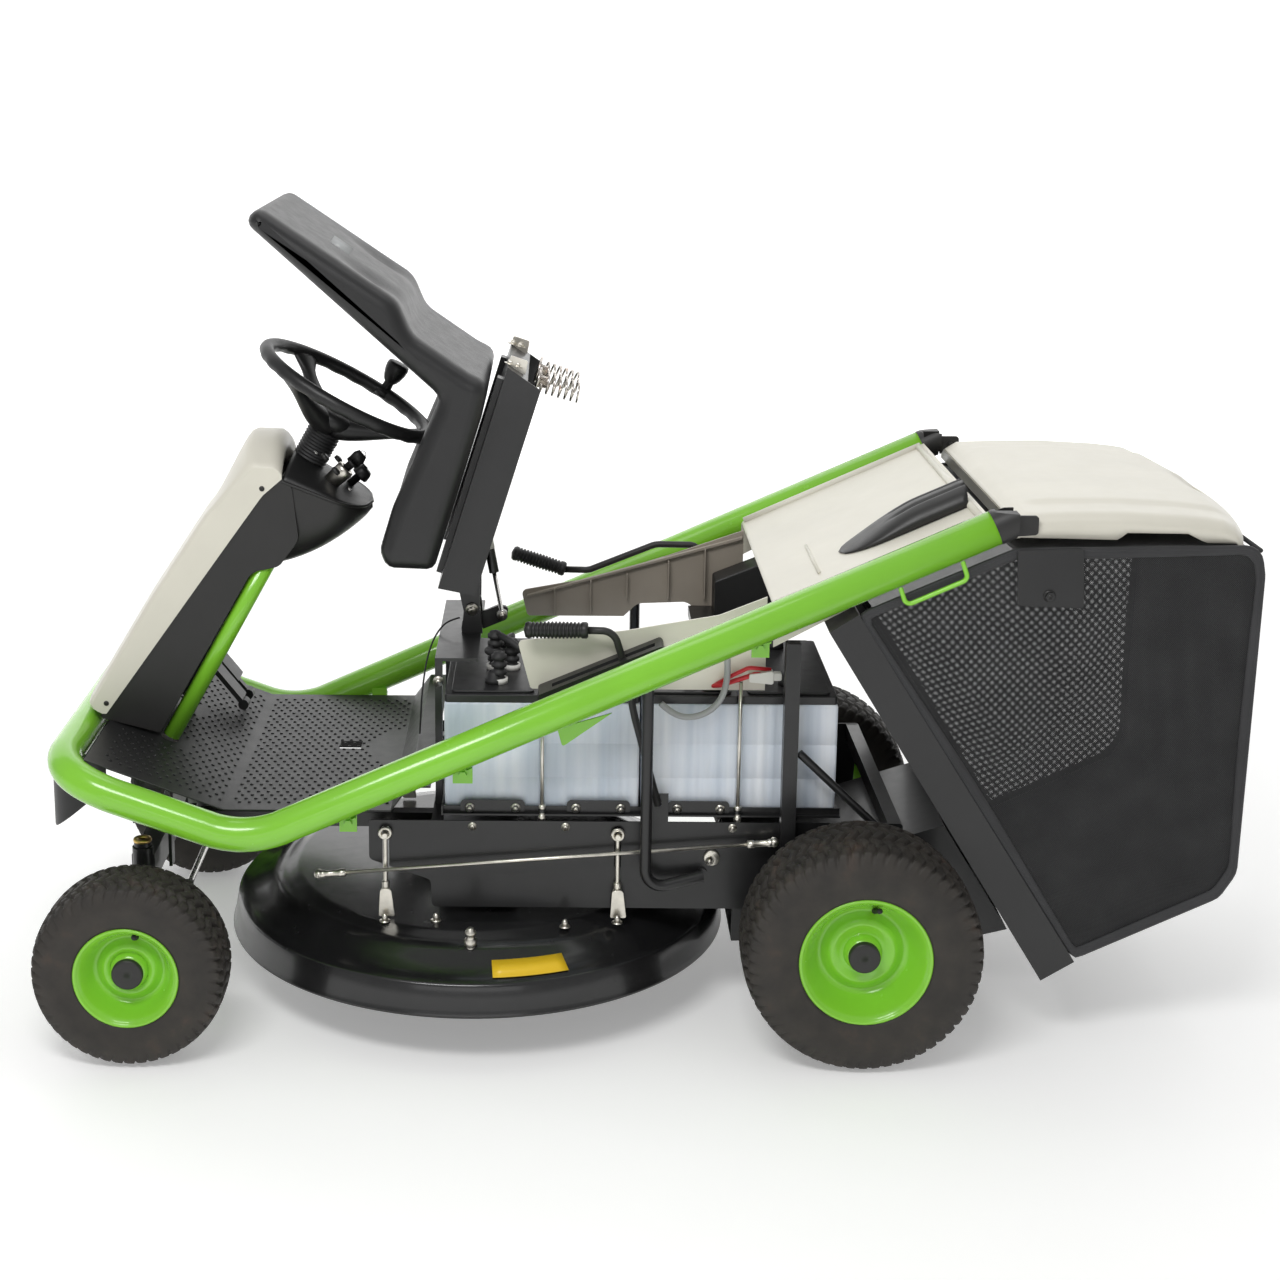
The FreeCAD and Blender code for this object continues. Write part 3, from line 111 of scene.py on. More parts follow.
def surface(name, colour, roughness, metallic=0.0, mottle=0.08, mottle_scale=9.0, grain=0.15, grain_scale=900.0,
            grain_depth=0.0002, coat=0.0, dust=None):
    """A paint, plastic or metal: broad colour drift, uneven gloss and a fine grain."""
    made, nodes, links, shader = new_material(name)
    drift = noise(nodes, links, mottle_scale)
    low, high = shade(colour, 1.0 - mottle), shade(colour, 1.0 + mottle)
    stops = [(0.3, low), (0.7, high)]
    if dust:
        stops = [(0.3, low), (0.62, high), (0.8, dust)]
    links.new(ramp(nodes, links, drift.outputs["Fac"], stops).outputs["Color"], shader.inputs["Base Color"])
    gloss = noise(nodes, links, mottle_scale * 5.0)
    span = nodes.new("ShaderNodeMapRange")
    span.inputs["To Min"].default_value = max(0.02, roughness - GLOSS_SPREAD)
    span.inputs["To Max"].default_value = min(1.0, roughness + GLOSS_SPREAD)
    links.new(gloss.outputs["Fac"], span.inputs["Value"])
    links.new(span.outputs["Result"], shader.inputs["Roughness"])
    shader.inputs["Metallic"].default_value = metallic
    shader.inputs["Coat Weight"].default_value = coat
    shader.inputs["Coat Roughness"].default_value = 0.12
    fine = noise(nodes, links, grain_scale, detail=2.0)
    bump(nodes, links, shader, fine.outputs["Fac"], grain, grain_depth)
    return made


GREEN = (0.235, 0.60, 0.035)
CREAM = (0.70, 0.675, 0.585)
BLACK = (0.011, 0.011, 0.0115)
GREEN_PAINT = surface("green_paint", GREEN, 0.24, mottle=0.035, coat=0.5, grain=0.05, grain_scale=260.0)
CREAM_PLASTIC = surface("cream_plastic", CREAM, 0.36, mottle=0.03, grain=0.08, grain_scale=1200.0)
# A darker copy of the cream plastic: painted shade for the far side panel and the ribs on its inner face.
CREAM_IN_SHADE = surface("cream_painted_shade", (0.33, 0.29, 0.24), 0.5, mottle=0.08, grain=0.1)
BLACK_PAINT = surface("black_paint", BLACK, 0.34, mottle=0.15, grain=0.06, grain_scale=420.0, coat=0.15)
BLACK_PLASTIC = surface("black_plastic", (0.013, 0.013, 0.0132), 0.42, mottle=0.12, grain=0.35, grain_scale=1500.0)
DASH_PLASTIC = surface("dash_plastic", (0.016, 0.0155, 0.015), 0.40, mottle=0.1, grain=0.3, grain_scale=1700.0)
SEAT_VINYL = surface("seat_vinyl", (0.014, 0.014, 0.0145), 0.40, mottle=0.14, grain=0.5, grain_scale=750.0,
                     grain_depth=0.0004)
DECK_PAINT = surface("deck_paint", (0.010, 0.010, 0.0105), 0.24, mottle=0.15, grain=0.04, grain_scale=60.0,
                     coat=0.3)
RUBBER = surface("soft_rubber", (0.020, 0.020, 0.021), 0.6, mottle=0.15, grain=0.3)
STEEL = surface("bright_steel", (0.60, 0.59, 0.57), 0.28, metallic=1.0, mottle=0.1, grain=0.1)
ZINC = surface("zinc_plate", (0.72, 0.69, 0.62), 0.33, metallic=1.0, mottle=0.12, mottle_scale=60.0)
BRASS = surface("brass_ring", (0.70, 0.48, 0.16), 0.33, metallic=1.0)
SPRING_STEEL = surface("spring_steel", (0.62, 0.58, 0.54), 0.25, metallic=1.0, mottle=0.2, mottle_scale=40.0,
                       dust=(0.62, 0.33, 0.2))
ALLOY = surface("cast_alloy", (0.20, 0.20, 0.21), 0.5, metallic=0.8, grain=0.5, grain_scale=300.0)
LID_PLASTIC = surface("battery_lid", (0.020, 0.020, 0.021), 0.4, grain=0.25, dust=(0.06, 0.055, 0.05))
YELLOW = surface("yellow_plate", (0.86, 0.56, 0.02), 0.35, mottle=0.05)
WHITE_PLASTIC = surface("white_plastic", (0.75, 0.74, 0.70), 0.4, mottle=0.05)
RED_PLASTIC = surface("red_plastic", (0.55, 0.02, 0.03), 0.35)
HOSE_GREY = surface("hose_grey", (0.36, 0.37, 0.37), 0.32, mottle=0.1)
CAP_PLASTIC = surface("cap_plastic", (0.019, 0.0185, 0.018), 0.45, mottle=0.1)


def tyre_material():
    """Brown-grey rubber: dusty sidewall and redder scuffed edges."""
    made, nodes, links, shader = new_material("tyre_rubber")
    drift = noise(nodes, links, 24.0)
    colours = ramp(nodes, links, drift.outputs["Fac"],
                   [(0.28, (0.020, 0.0175, 0.015)), (0.6, (0.033, 0.028, 0.023)), (0.84, (0.062, 0.040, 0.029))])
    links.new(colours.outputs["Color"], shader.inputs["Base Color"])
    shader.inputs["Roughness"].default_value = 0.66
    fine = noise(nodes, links, 420.0)
    bump(nodes, links, shader, fine.outputs["Fac"], 0.3, 0.0005)
    return made


def battery_material():
    """Milky translucent plastic with faint moulded lines."""
    made, nodes, links, shader = new_material("battery_plastic")
    streaks = noise(nodes, links, 26.0, stretch=(1.0, 1.0, 0.04))
    colours = ramp(nodes, links, streaks.outputs["Fac"],
                   [(0.3, (0.50, 0.57, 0.66)), (0.55, (0.66, 0.71, 0.78)), (0.75, (0.80, 0.83, 0.87))])
    links.new(colours.outputs["Color"], shader.inputs["Base Color"])
    shader.inputs["Roughness"].default_value = 0.36
    shader.inputs["Subsurface Weight"].default_value = 0.15
    shader.inputs["Subsurface Radius"].default_value = (0.01, 0.012, 0.015)
    fine = noise(nodes, links, 500.0)
    bump(nodes, links, shader, fine.outputs["Fac"], 0.08, 0.0003)
    return made


def calculate(nodes, links, operation, first, second=None):
    """A Math node on one or two inputs; each is a number or another node's output."""
    made = nodes.new("ShaderNodeMath")
    made.operation = operation
    for socket, value in zip(made.inputs, (first, second)):
        if isinstance(value, float):
            socket.default_value = value
        elif value:
            links.new(value, socket)
    return made.outputs["Value"]


def cross_weave(nodes, links, across, pitch):
    """Threads along Z and one other axis: -1 to 1, one cycle in a pitch."""
    waves = []
    for axis in (across, "Z"):
        place = nodes.new("ShaderNodeTexCoord")
        split = nodes.new("ShaderNodeSeparateXYZ")
        links.new(place.outputs["Object"], split.inputs["Vector"])
        turn = calculate(nodes, links, "MULTIPLY", split.outputs[axis], 2.0 * math.pi / pitch)
        waves.append(calculate(nodes, links, "COSINE", turn))
    return calculate(nodes, links, "MULTIPLY", *waves)


def fabric(name, dark, light, across, pitch, open_share=0.0):
    """Black cloth with a fine cross weave; open_share is how much of a net is holes."""
    made, nodes, links, shader = new_material(name)
    weave = cross_weave(nodes, links, across, pitch)
    if open_share:
        links.new(calculate(nodes, links, "LESS_THAN", weave, 1.0 - 2.0 * open_share), shader.inputs["Alpha"])
    drift = noise(nodes, links, 14.0 if open_share else 10.0)
    links.new(ramp(nodes, links, drift.outputs["Fac"], [(0.3, dark), (0.7, light)]).outputs["Color"],
              shader.inputs["Base Color"])
    shader.inputs["Roughness"].default_value = 0.72 if open_share else 0.66
    shader.inputs["Sheen Weight"].default_value = 0.0 if open_share else 0.15
    bump(nodes, links, shader, weave, *((0.5, 0.0006) if open_share else (0.35, 0.0005)))
    return made


def woven_fabric(name, colour):
    return fabric(name, shade(colour, 0.8), shade(colour, 1.25), "Y", 0.003)


TYRE = tyre_material()
BATTERY = battery_material()
NETTING = fabric("bag_netting", (0.010, 0.010, 0.011), (0.022, 0.022, 0.023), "X", 0.0031, 0.24)
CLOTH = woven_fabric("bag_cloth", (0.017, 0.017, 0.018))
PIPING = woven_fabric("bag_piping", (0.026, 0.026, 0.028))


# ---------------------------------------------------------------- mesh helpers
SHARP = math.radians(34.0)                # edges that turn by more than this are rounded


def smooth_edges(piece, bevel=1.2):
    """Weld, small rounded edges and smooth shading, as the modifiers a real part's edges need."""
    weld = piece.modifiers.new("weld", "WELD")
    weld.merge_threshold = 0.00002
    if bevel:
        rounding = piece.modifiers.new("edges", "BEVEL")
        rounding.width = bevel * MM
        rounding.segments = 2
        rounding.limit_method = "ANGLE"
        rounding.angle_limit = SHARP
        rounding.use_clamp_overlap = True
        rounding.harden_normals = False
    for polygon in piece.data.polygons:
        polygon.use_smooth = True
    if bevel:
        normals = piece.modifiers.new("normals", "WEIGHTED_NORMAL")
        normals.keep_sharp = True
    return piece


def paint(piece, *materials):
    piece.data.materials.clear()
    for made in materials:
        piece.data.materials.append(made)
    return piece


def piece_from(name, points, faces, material, body, stands_for=(), bevel=0.0, slot=None, smooth=True):
    """A mesh piece in the row's frame that rides on a body and may stand for CAD nodes."""
    data = bpy.data.meshes.new(name)
    data.from_pydata([tuple(p) for p in points], [], faces)
    data.validate()
    piece = bpy.data.objects.new(name, data)
    bpy.context.scene.collection.objects.link(piece)
    paint(piece, material)
    for polygon in data.polygons:
        polygon.use_smooth = smooth
    if bevel:
        smooth_edges(piece, bevel)
    if stands_for:
        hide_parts(*stands_for)
    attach(piece, body)
    return piece


def joined(parts):
    """Several (points, faces) lists as one."""
    points, faces = [], []
    for more_points, more_faces in parts:
        start = len(points)
        points += list(more_points)
        faces += [tuple(i + start for i in face) for face in more_faces]
    return points, faces


def rounded(points, steps=6, closed=True):
    """Corner points, whose last number may be a radius, as a line with those corners turned to arcs."""
    count = len(points)
    size = 2 if len(points[0]) < 4 and not isinstance(points[0][-1], Vector) else 3
    line = []
    for index, point in enumerate(points):
        here = Vector(point[:size])
        radius = point[size] if len(point) > size else 0.0
        if not radius or (not closed and index in (0, count - 1)):
            line.append(here)
            continue
        back = (Vector(points[index - 1][:size]) - here)
        ahead = (Vector(points[(index + 1) % count][:size]) - here)
        angle = back.angle(ahead)
        if angle > math.radians(178.5):
            line.append(here)
            continue
        reach = min(radius / math.tan(angle / 2), 0.49 * back.length, 0.49 * ahead.length)
        first = here + back.normalized() * reach
        last = here + ahead.normalized() * reach
        for step in range(steps + 1):
            t = step / steps
            line.append((1 - t) ** 2 * first + 2 * t * (1 - t) * (here * 0.82 + (first + last) * 0.09) + t * t * last)
    return line


def ring_faces(rings, size, wrap=False):
    """Quads between rings of equal size; the ends are capped, or joined to each other."""
    faces = []
    last = rings if wrap else rings - 1
    for row in range(last):
        for index in range(size):
            a = row * size + index
            b = row * size + (index + 1) % size
            c = ((row + 1) % rings) * size + (index + 1) % size
            d = ((row + 1) % rings) * size + index
            faces.append((a, b, c, d))
    if not wrap:
        faces.append(tuple(range(size - 1, -1, -1)))
        faces.append(tuple(range((rings - 1) * size, rings * size)))
    return faces


def ring_solid(rows):
    """A closed solid from rings of points, one list for each ring."""
    return [p for row in rows for p in row], ring_faces(len(rows), len(rows[0]))


def swing(first, second, turn):
    """The direction at an angle from the first of two square directions towards the second."""
    return first * math.cos(turn) + second * math.sin(turn)


def tube(line, radius, sides=20, closed=False):
    """A round bar along a line of points in metres; radius is in mm, a number or one for each point."""
    line = [Vector(p) for p in line]
    count = len(line)
    radii = radius if isinstance(radius, (list, tuple)) else [radius] * count
    points = []
    normal = None
    for index, here in enumerate(line):
        if closed:
            way = (line[(index + 1) % count] - line[index - 1]).normalized()
        else:
            way = (line[min(index + 1, count - 1)] - line[max(index - 1, 0)]).normalized()
        if normal is None:
            normal = way.orthogonal().normalized()
        normal = (normal - way * normal.dot(way)).normalized()
        side = way.cross(normal)
        for step in range(sides):
            points.append(here + swing(normal, side, 2 * math.pi * step / sides) * radii[index] * MM)
    return points, ring_faces(count, sides, wrap=closed)


def path(points, steps=8):
    """Millimetre points (x, y, z[, corner radius]) as a smooth line in metres."""
    line = rounded([tuple(p) if len(p) > 3 else tuple(p) + (0.0,) for p in points], steps, closed=False)
    return [at(*p) for p in line]


def lathe(profile, centre, axis=Vector((0, 1, 0)), sides=72):
    """A turned solid; profile is (along the axis, radius) in mm, closed on itself."""
    axis = Vector(axis).normalized()
    first = axis.orthogonal().normalized()
    second = axis.cross(first)
    points = []
    for step in range(sides):
        out = swing(first, second, 2 * math.pi * step / sides)
        for along, radius in profile:
            points.append(centre + axis * along * MM + out * radius * MM)
    return points, ring_faces(sides, len(profile), wrap=True)


def prism(outline, low, high, flat=False):
    """A flat-sided solid from an outline in mm with optional corner radii: x and z, or flat, x and y."""
    line = rounded(outline)
    return ring_solid([[at(p[0], p[1], depth) if flat else at(p[0], depth, p[1]) for p in line]
                       for depth in (low, high)])


def cuboid(x0, x1, y0, y1, z0, z1):
    return prism([(x0, z0), (x1, z0), (x1, z1), (x0, z1)], y0, y1)


def bolt(spot, way, flats=10.0, height=6.0):
    """An acorn-headed screw on a washer, standing on a surface; sizes in mm."""
    way = Vector(way).normalized()
    washer = lathe([(0, 0.0), (0, flats * 0.95), (1.4, flats * 0.95), (1.4, 0.0)], spot, way, 20)
    profile = [(1.4, 0.0), (1.4, flats * 0.56), (height * 0.6, flats * 0.56), (height * 0.9, flats * 0.36),
               (height, 0.0)]
    head = lathe(profile, spot, way, 6)
    return joined([washer, head])


def surface_grid(rows):
    """Quads over a grid of points, one list for each row."""
    size = len(rows[0])
    points = [p for row in rows for p in row]
    faces = []
    for row in range(len(rows) - 1):
        for index in range(size - 1):
            a = row * size + index
            faces.append((a, a + 1, a + size + 1, a + size))
    return points, faces


def thick(piece, depth, offset=-1.0):
    solid = piece.modifiers.new("thickness", "SOLIDIFY")
    solid.thickness = depth * MM
    solid.offset = offset
    return piece


def keep(node, *materials, bevel=1.2):
    """A CAD node that stays, with rounded edges and its own material."""
    piece = NODES[node]
    paint(piece, *materials)
    smooth_edges(piece, bevel)
    return piece


def ease(t):
    t = max(0.0, min(1.0, t))
    return t * t * (3 - 2 * t)


# ---------------------------------------------------------------- camera, floor and light
def look_like_photo():
    """The reference view: from the machine's left, a little above."""
    azimuth, elevation, roll = math.radians(-0.283), math.radians(12.224), math.radians(0.325)
    back = Vector((math.sin(azimuth) * math.cos(elevation), math.cos(azimuth) * math.cos(elevation),
                   math.sin(elevation)))
    right = Vector((0, 0, 1)).cross(back).normalized()
    up = back.cross(right)
    lens = bpy.data.cameras.new("camera")
    lens.sensor_width = 36.0
    lens.lens = 57.66
    lens.shift_x = 0.0748
    lens.shift_y = -0.1233
    camera = bpy.data.objects.new("camera", lens)
    bpy.context.scene.collection.objects.link(camera)
    spot = at(523.7, 3622.6, 1701.2)
    columns = (swing(right, up, roll), swing(up, -right, roll), back)
    for row in range(3):
        for column in range(3):
            camera.matrix_world[row][column] = columns[column][row]
        camera.matrix_world[row][3] = spot[row]
    bpy.context.scene.camera = camera


def area_light(name, spot, target, size, power):
    lamp = bpy.data.lights.new(name, "AREA")
    lamp.shape = "RECTANGLE"
    lamp.size, lamp.size_y = size
    lamp.energy = power
    holder = bpy.data.objects.new(name, lamp)
    holder.location = spot
    holder.rotation_euler = (Vector(target) - Vector(spot)).to_track_quat("-Z", "Y").to_euler()
    bpy.context.scene.collection.objects.link(holder)


def screen(name, corners, colour, roughness, glow):
    """A plain staged sheet, lit a little from itself."""
    data = bpy.data.meshes.new(name)
    data.from_pydata(corners, [], [(0, 1, 2, 3)])
    sheet = bpy.data.objects.new(name, data)
    bpy.context.scene.collection.objects.link(sheet)
    white = surface(name + "_white", colour, roughness, mottle=0.004, grain=0.0)
    shader = white.node_tree.nodes["Principled BSDF"]
    shader.inputs["Emission Color"].default_value = (1.0, 1.0, 1.0, 1.0)
    shader.inputs["Emission Strength"].default_value = glow
    paint(sheet, white)


def studio():
    scene = bpy.context.scene
    scene.view_settings.view_transform = "Standard"
    world = bpy.data.worlds.new("studio")
    world.use_nodes = True
    world.node_tree.nodes["Background"].inputs["Color"].default_value = (1.0, 1.0, 1.0, 1.0)
    world.node_tree.nodes["Background"].inputs["Strength"].default_value = 0.42
    scene.world = world
    area_light("key_light", (0.9, 2.6, 3.4), (0.0, 0.0, 0.5), (1.8, 0.8), 62.0)
    area_light("top_light", (-0.2, -0.5, 3.6), (0.0, 0.0, 0.4), (3.0, 1.0), 16.0)
    area_light("low_light", (0.4, 3.8, 0.7), (0.1, 0.0, 0.35), (3.2, 0.35), 6.0)
    reach, ground, back = 9.0, -0.0015, -4.5
    screen("floor", [(-reach, -reach, ground), (reach, -reach, ground), (reach, reach, ground),
                     (-reach, reach, ground)], (0.93, 0.93, 0.92), 0.6, 0.26)
    screen("backdrop", [(-reach, back, ground), (reach, back, ground), (reach, back, 7.0), (-reach, back, 7.0)],
           (0.9, 0.9, 0.9), 0.8, 0.75)


look_like_photo()
studio()


# ---------------------------------------------------------------- tube frame
FRAME_Y = 347.0
TUBE_R = 29.6
REAR, BEND = (-200.0, 920.0), (1042.0, 362.0)


def rail_z(x):
    """Height of the rail's centre line behind its bend."""
    return REAR[1] + (x - REAR[0]) * (BEND[1] - REAR[1]) / (BEND[0] - REAR[0])


def frame_tubes():
    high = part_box("frame_front_hoop")[1]
    front_x = (high[0] - AXLE_X) / MM - TUBE_R - 0.4
    front_z = high[2] / MM - TUBE_R - 0.4
    line = path([(REAR[0], FRAME_Y, REAR[1]), (BEND[0], FRAME_Y, BEND[1], 150), (front_x, FRAME_Y, front_z, 105),
                 (front_x, -FRAME_Y, front_z, 105), (BEND[0], -FRAME_Y, BEND[1], 150),
                 (REAR[0], -FRAME_Y, REAR[1])], 22)
    piece_from("frame_tube", *tube(line, TUBE_R, 44), GREEN_PAINT, "chassis", ["frame_rails", "frame_front_hoop"],
               slot="frame_paint")
    gusset = prism([(516, 560), (507, 527, 4), (423, 588)], 318, 322)
    piece_from("rail_gusset", *gusset, GREEN_PAINT, "chassis", bevel=0.8, slot="frame_paint")
    keep("frame_end_caps", CAP_PLASTIC, bevel=4.0)
    keep("frame_lugs", GREEN_PAINT, bevel=0.8)
    keep("column_stays", GREEN_PAINT, bevel=0)


frame_tubes()


# ---------------------------------------------------------------- wheels
def tyre_section(width, outer, bead, steps):
    """Points round a tyre's outside, bead to bead: across, radius, and 0 at the middle to 1 at a bead."""
    section = []
    half = width / 2
    tread = 0.56                                       # the tread's share of the section
    for step in range(steps + 1):
        t = -1 + 2 * step / steps                      # -1 and 1 are the beads, 0 the middle of the tread
        a = abs(t)
        if a <= tread:
            across = 0.86 * half * (a / tread)
            radius = outer - 9.0 * (a / tread) ** 3.2
        else:
            s = (a - tread) / (1 - tread)
            across = 0.86 * half + (0.14 * half) * math.sin(min(1.0, s * 1.9) * math.pi / 2)
            across -= 0.20 * half * max(0.0, s - 0.42) ** 1.4
            radius = (outer - 9.0) + (bead - outer + 9.0) * s ** 0.92
        section.append((math.copysign(across, t), radius, a))
    return section


def lug_height(turn, across, half, lugs):
    """Turf tread: rows of small slanted blocks that zigzag round the tyre, 0 in a groove and 1 on a block."""
    zig = abs(((across / half * 3.0) % 2.0) - 1.0)
    phase = (turn / (2 * math.pi) * lugs + 0.75 * zig) % 1.0
    block = ease((phase - 0.10) * 9) * ease((0.90 - phase) * 9)
    row = (across / half * 4.5 + 100.5) % 1.0
    gap = ease(row * 9) * ease((1 - row) * 9)
    return block * (0.35 + 0.65 * gap)


def tyre(name, node, body, width, outer, bead, lugs):
    centre = middle(node)
    around, steps = 12 * lugs, 66
    section = tyre_section(width, outer, bead, steps)
    groove = 5.5
    points = []
    for turn_index in range(around):
        turn = 2 * math.pi * turn_index / around
        out = Vector((math.sin(turn), 0, math.cos(turn)))
        for across, radius, a in section:
            lift = radius
            if a < 0.66:
                lift -= groove * (1 - lug_height(turn, across, width / 2, lugs)) * ease((0.68 - a) * 9)
            elif a < 0.985:
                s = (a - 0.66) / 0.325
                for height, place, spread in ((0.9, 0.80, 0.025), (0.9, 0.70, 0.02), (0.7, 0.17, 0.03)):
                    lift += height * math.exp(-((s - place) / spread) ** 2)
            points.append(centre + out * lift * MM + Vector((0, across * MM, 0)))
        for across in (section[-1][0] - math.copysign(10, section[-1][0]), section[0][0] + 10):
            points.append(centre + out * (bead + 1) * MM + Vector((0, across * MM, 0)))
    return piece_from(name, points, ring_faces(around, steps + 3, wrap=True), TYRE, body, [node],
                      slot="tyre_rubber")


def wheel(end, side_name):
    node = "%s_%s" % (end, side_name)
    body = "wheel_" + node
    side = 1 if side_name == "left" else -1
    rear = end == "rear"
    width, outer, flange = (165.0, 203.0, 111.0) if rear else (127.0, 165.0, 88.0)
    tyre("tyre_rubber_" + node, "tyre_" + node, body, width, outer, flange + 1, 58 if rear else 48)
    centre = middle("tyre_" + node)
    axis = Vector((0, side, 0))
    k = flange / 111.0
    face = 0.43 * width + 2                             # how far out the rim's lip stands
    front = [(face - 1, flange - 1), (face + 1.5, flange + 1.0), (face + 3, flange - 1.5), (face + 1.5, flange - 5),
             (face - 5, flange - 9), (face - 14, flange - 14), (face - 30 * k, flange - 22 * k),
             (face - 44 * k, flange - 30 * k), (face - 50 * k, flange - 37 * k), (face - 50 * k, flange - 42 * k),
             (face - 42 * k, flange - 50 * k), (face - 36 * k, flange - 57 * k), (face - 36 * k, flange - 62 * k),
             (face - 40 * k, flange - 70 * k), (face - 41 * k, 34), (face - 40 * k, 32), (face - 24 * k, 29.5),
             (face - 24 * k, 15)]
    back = [(along - (3.2 if radius > 36 else 5), radius - 2.6) for along, radius in reversed(front[1:-1])]
    profile = front + [(face - 60 * k, 15), (face - 60 * k, 30)] + back[3:]
    rim = piece_from("rim_dish_" + node, *lathe(profile, centre, axis, 112), GREEN_PAINT, body, ["rim_" + node],
                     slot="rim_paint")
    rim.modifiers.new("soft", "WEIGHTED_NORMAL")
    rear_lip = -0.43 * width
    barrel = [(face - 44 * k, flange - 29 * k), (rear_lip + 16, flange - 24), (rear_lip + 4, flange - 9),
              (rear_lip, flange), (rear_lip - 2, flange), (rear_lip + 2, flange - 12),
              (rear_lip + 14, flange - 27), (face - 46 * k, flange - 32 * k)]
    piece_from("rim_barrel_" + node, *lathe(barrel, centre, axis, 96), GREEN_PAINT, body, slot="rim_paint")
    cap_out = face - 12 * k
    cap = [(face - 45 * k, 0), (face - 45 * k, 26), (cap_out - 3, 26.5), (cap_out - 0.8, 25.2), (cap_out, 22.5),
           (cap_out - 0.3, 12), (cap_out, 0)]
    piece_from("axle_cap_" + node, *lathe(cap, centre, axis, 48), CAP_PLASTIC, body, slot="rim_paint")
    lean = math.radians(14 if rear else 12)
    out = Vector((math.sin(-lean), 0, math.cos(lean)))
    start = centre + out * (flange - 36 * k) * MM + axis * (face - 44 * k) * MM
    end_point = centre + out * (flange - 22 * k) * MM + axis * (face - 12 * k) * MM
    line = [start.lerp(end_point, t / 6) for t in range(7)]
    piece_from("valve_" + node, *tube(line, [5.5, 5, 4.4, 4.2, 4.2, 5.0, 4.6], 14), RUBBER, body, slot="soft_rubber")


for wheel_end in ("rear", "front"):
    for wheel_side in ("left", "right"):
        wheel(wheel_end, wheel_side)


# ---------------------------------------------------------------- front axle, drive and running gear
def running_gear():
    for node, material, bevel in (
            ("front_axle_beam", BLACK_PAINT, 2.0), ("tie_rod", STEEL, 0.6), ("wheel_motors", ALLOY, 2.0),
            ("chassis_plates", BLACK_PAINT, 0.7), ("support_posts", BLACK_PAINT, 1.0), ("blade_motor", ALLOY, 2.0),
            ("cutting_blade", STEEL, 0.8), ("discharge_chute", BLACK_PAINT, 0.8)):
        keep(node, material, bevel=bevel)
    links = []
    for side in (1, -1):
        for station in (813, 409):
            y = side * 276
            links.append(tube([at(station, y, z) for z in (258, 300, 342)], 4.0, 16))
            links.append(tube([at(station + 9 * math.cos(t * 0.3), y, 351 + 9 * math.sin(t * 0.3))
                               for t in range(21)], 3.6, 10, closed=True))
            links.append(tube([at(station, side * 252, 350), at(station, side * 287, 350)], 4.6, 16))
            links.append(lathe([(0, 0), (0, 7), (24, 7), (26, 4.5), (26, 0)], at(station, y, 238), (0, 0, 1), 16))
            links.append(bolt(at(station, side * 278, 246), (0, side, 0), 9, 7))
            links.append(prism([(station - 16, 201, 3), (station + 12, 201, 3), (station + 9, 252, 6),
                                (station - 10, 252, 6)], side * 284, side * 286.5))
    made = piece_from("hanger_links", *joined(links), ZINC, "deck", ["deck_hangers"], slot="bright_steel")
    smooth_edges(made, 0.4)
    for side_name, side in (("left", 1), ("right", -1)):
        keep("knuckle_" + side_name, BLACK_PAINT, bevel=0.8)
        spot = at(1233, side * 285, 337)
        ring = lathe([(0, 7), (0, 15.5), (3, 16), (5.5, 15), (5.5, 7)], spot, (0, 0, 1), 32)
        piece_from("kingpin_ring_" + side_name, *ring, BRASS, "steering_knuckle_" + side_name, slot="bright_steel")
    line = path([(928, 288, 279), (139, 288, 344)])
    parts = [tube(line, 3.4, 16)]
    way = (line[-1] - line[0]).normalized()
    for end_point, sign in ((line[0], 1), (line[-1], -1)):
        parts.append(lathe([(0, 0), (0, 7), (10, 7.2), (12, 5.6), (34, 5.6), (36, 7), (46, 7), (48, 3.4), (48, 0)],
                           end_point, way * sign, 18))
        ball = [(-8 * math.cos(math.pi * i / 10), 8.2 * math.sin(math.pi * i / 10)) for i in range(11)]
        parts.append(lathe(ball, end_point, (0, 1, 0), 20))
        parts.append(bolt(end_point - Vector((0, 0.0065, 0)), (0, 1, 0), 8, 13))
    piece_from("link_rod_steel", *joined(parts), ZINC, "lift_link", ["lift_link_rod"], slot="bright_steel")
    disc = lathe([(0, 0), (0, 14), (5, 14), (6, 12.5), (6, 0)], at(245, 268.4, 308), (0, 1, 0), 36)
    stud = bolt(at(249, 273, 303), (0, 1, 0), 8, 7)
    piece_from("eccentric_disc", *joined([disc, stud]), ZINC, "chassis", slot="bright_steel")


running_gear()


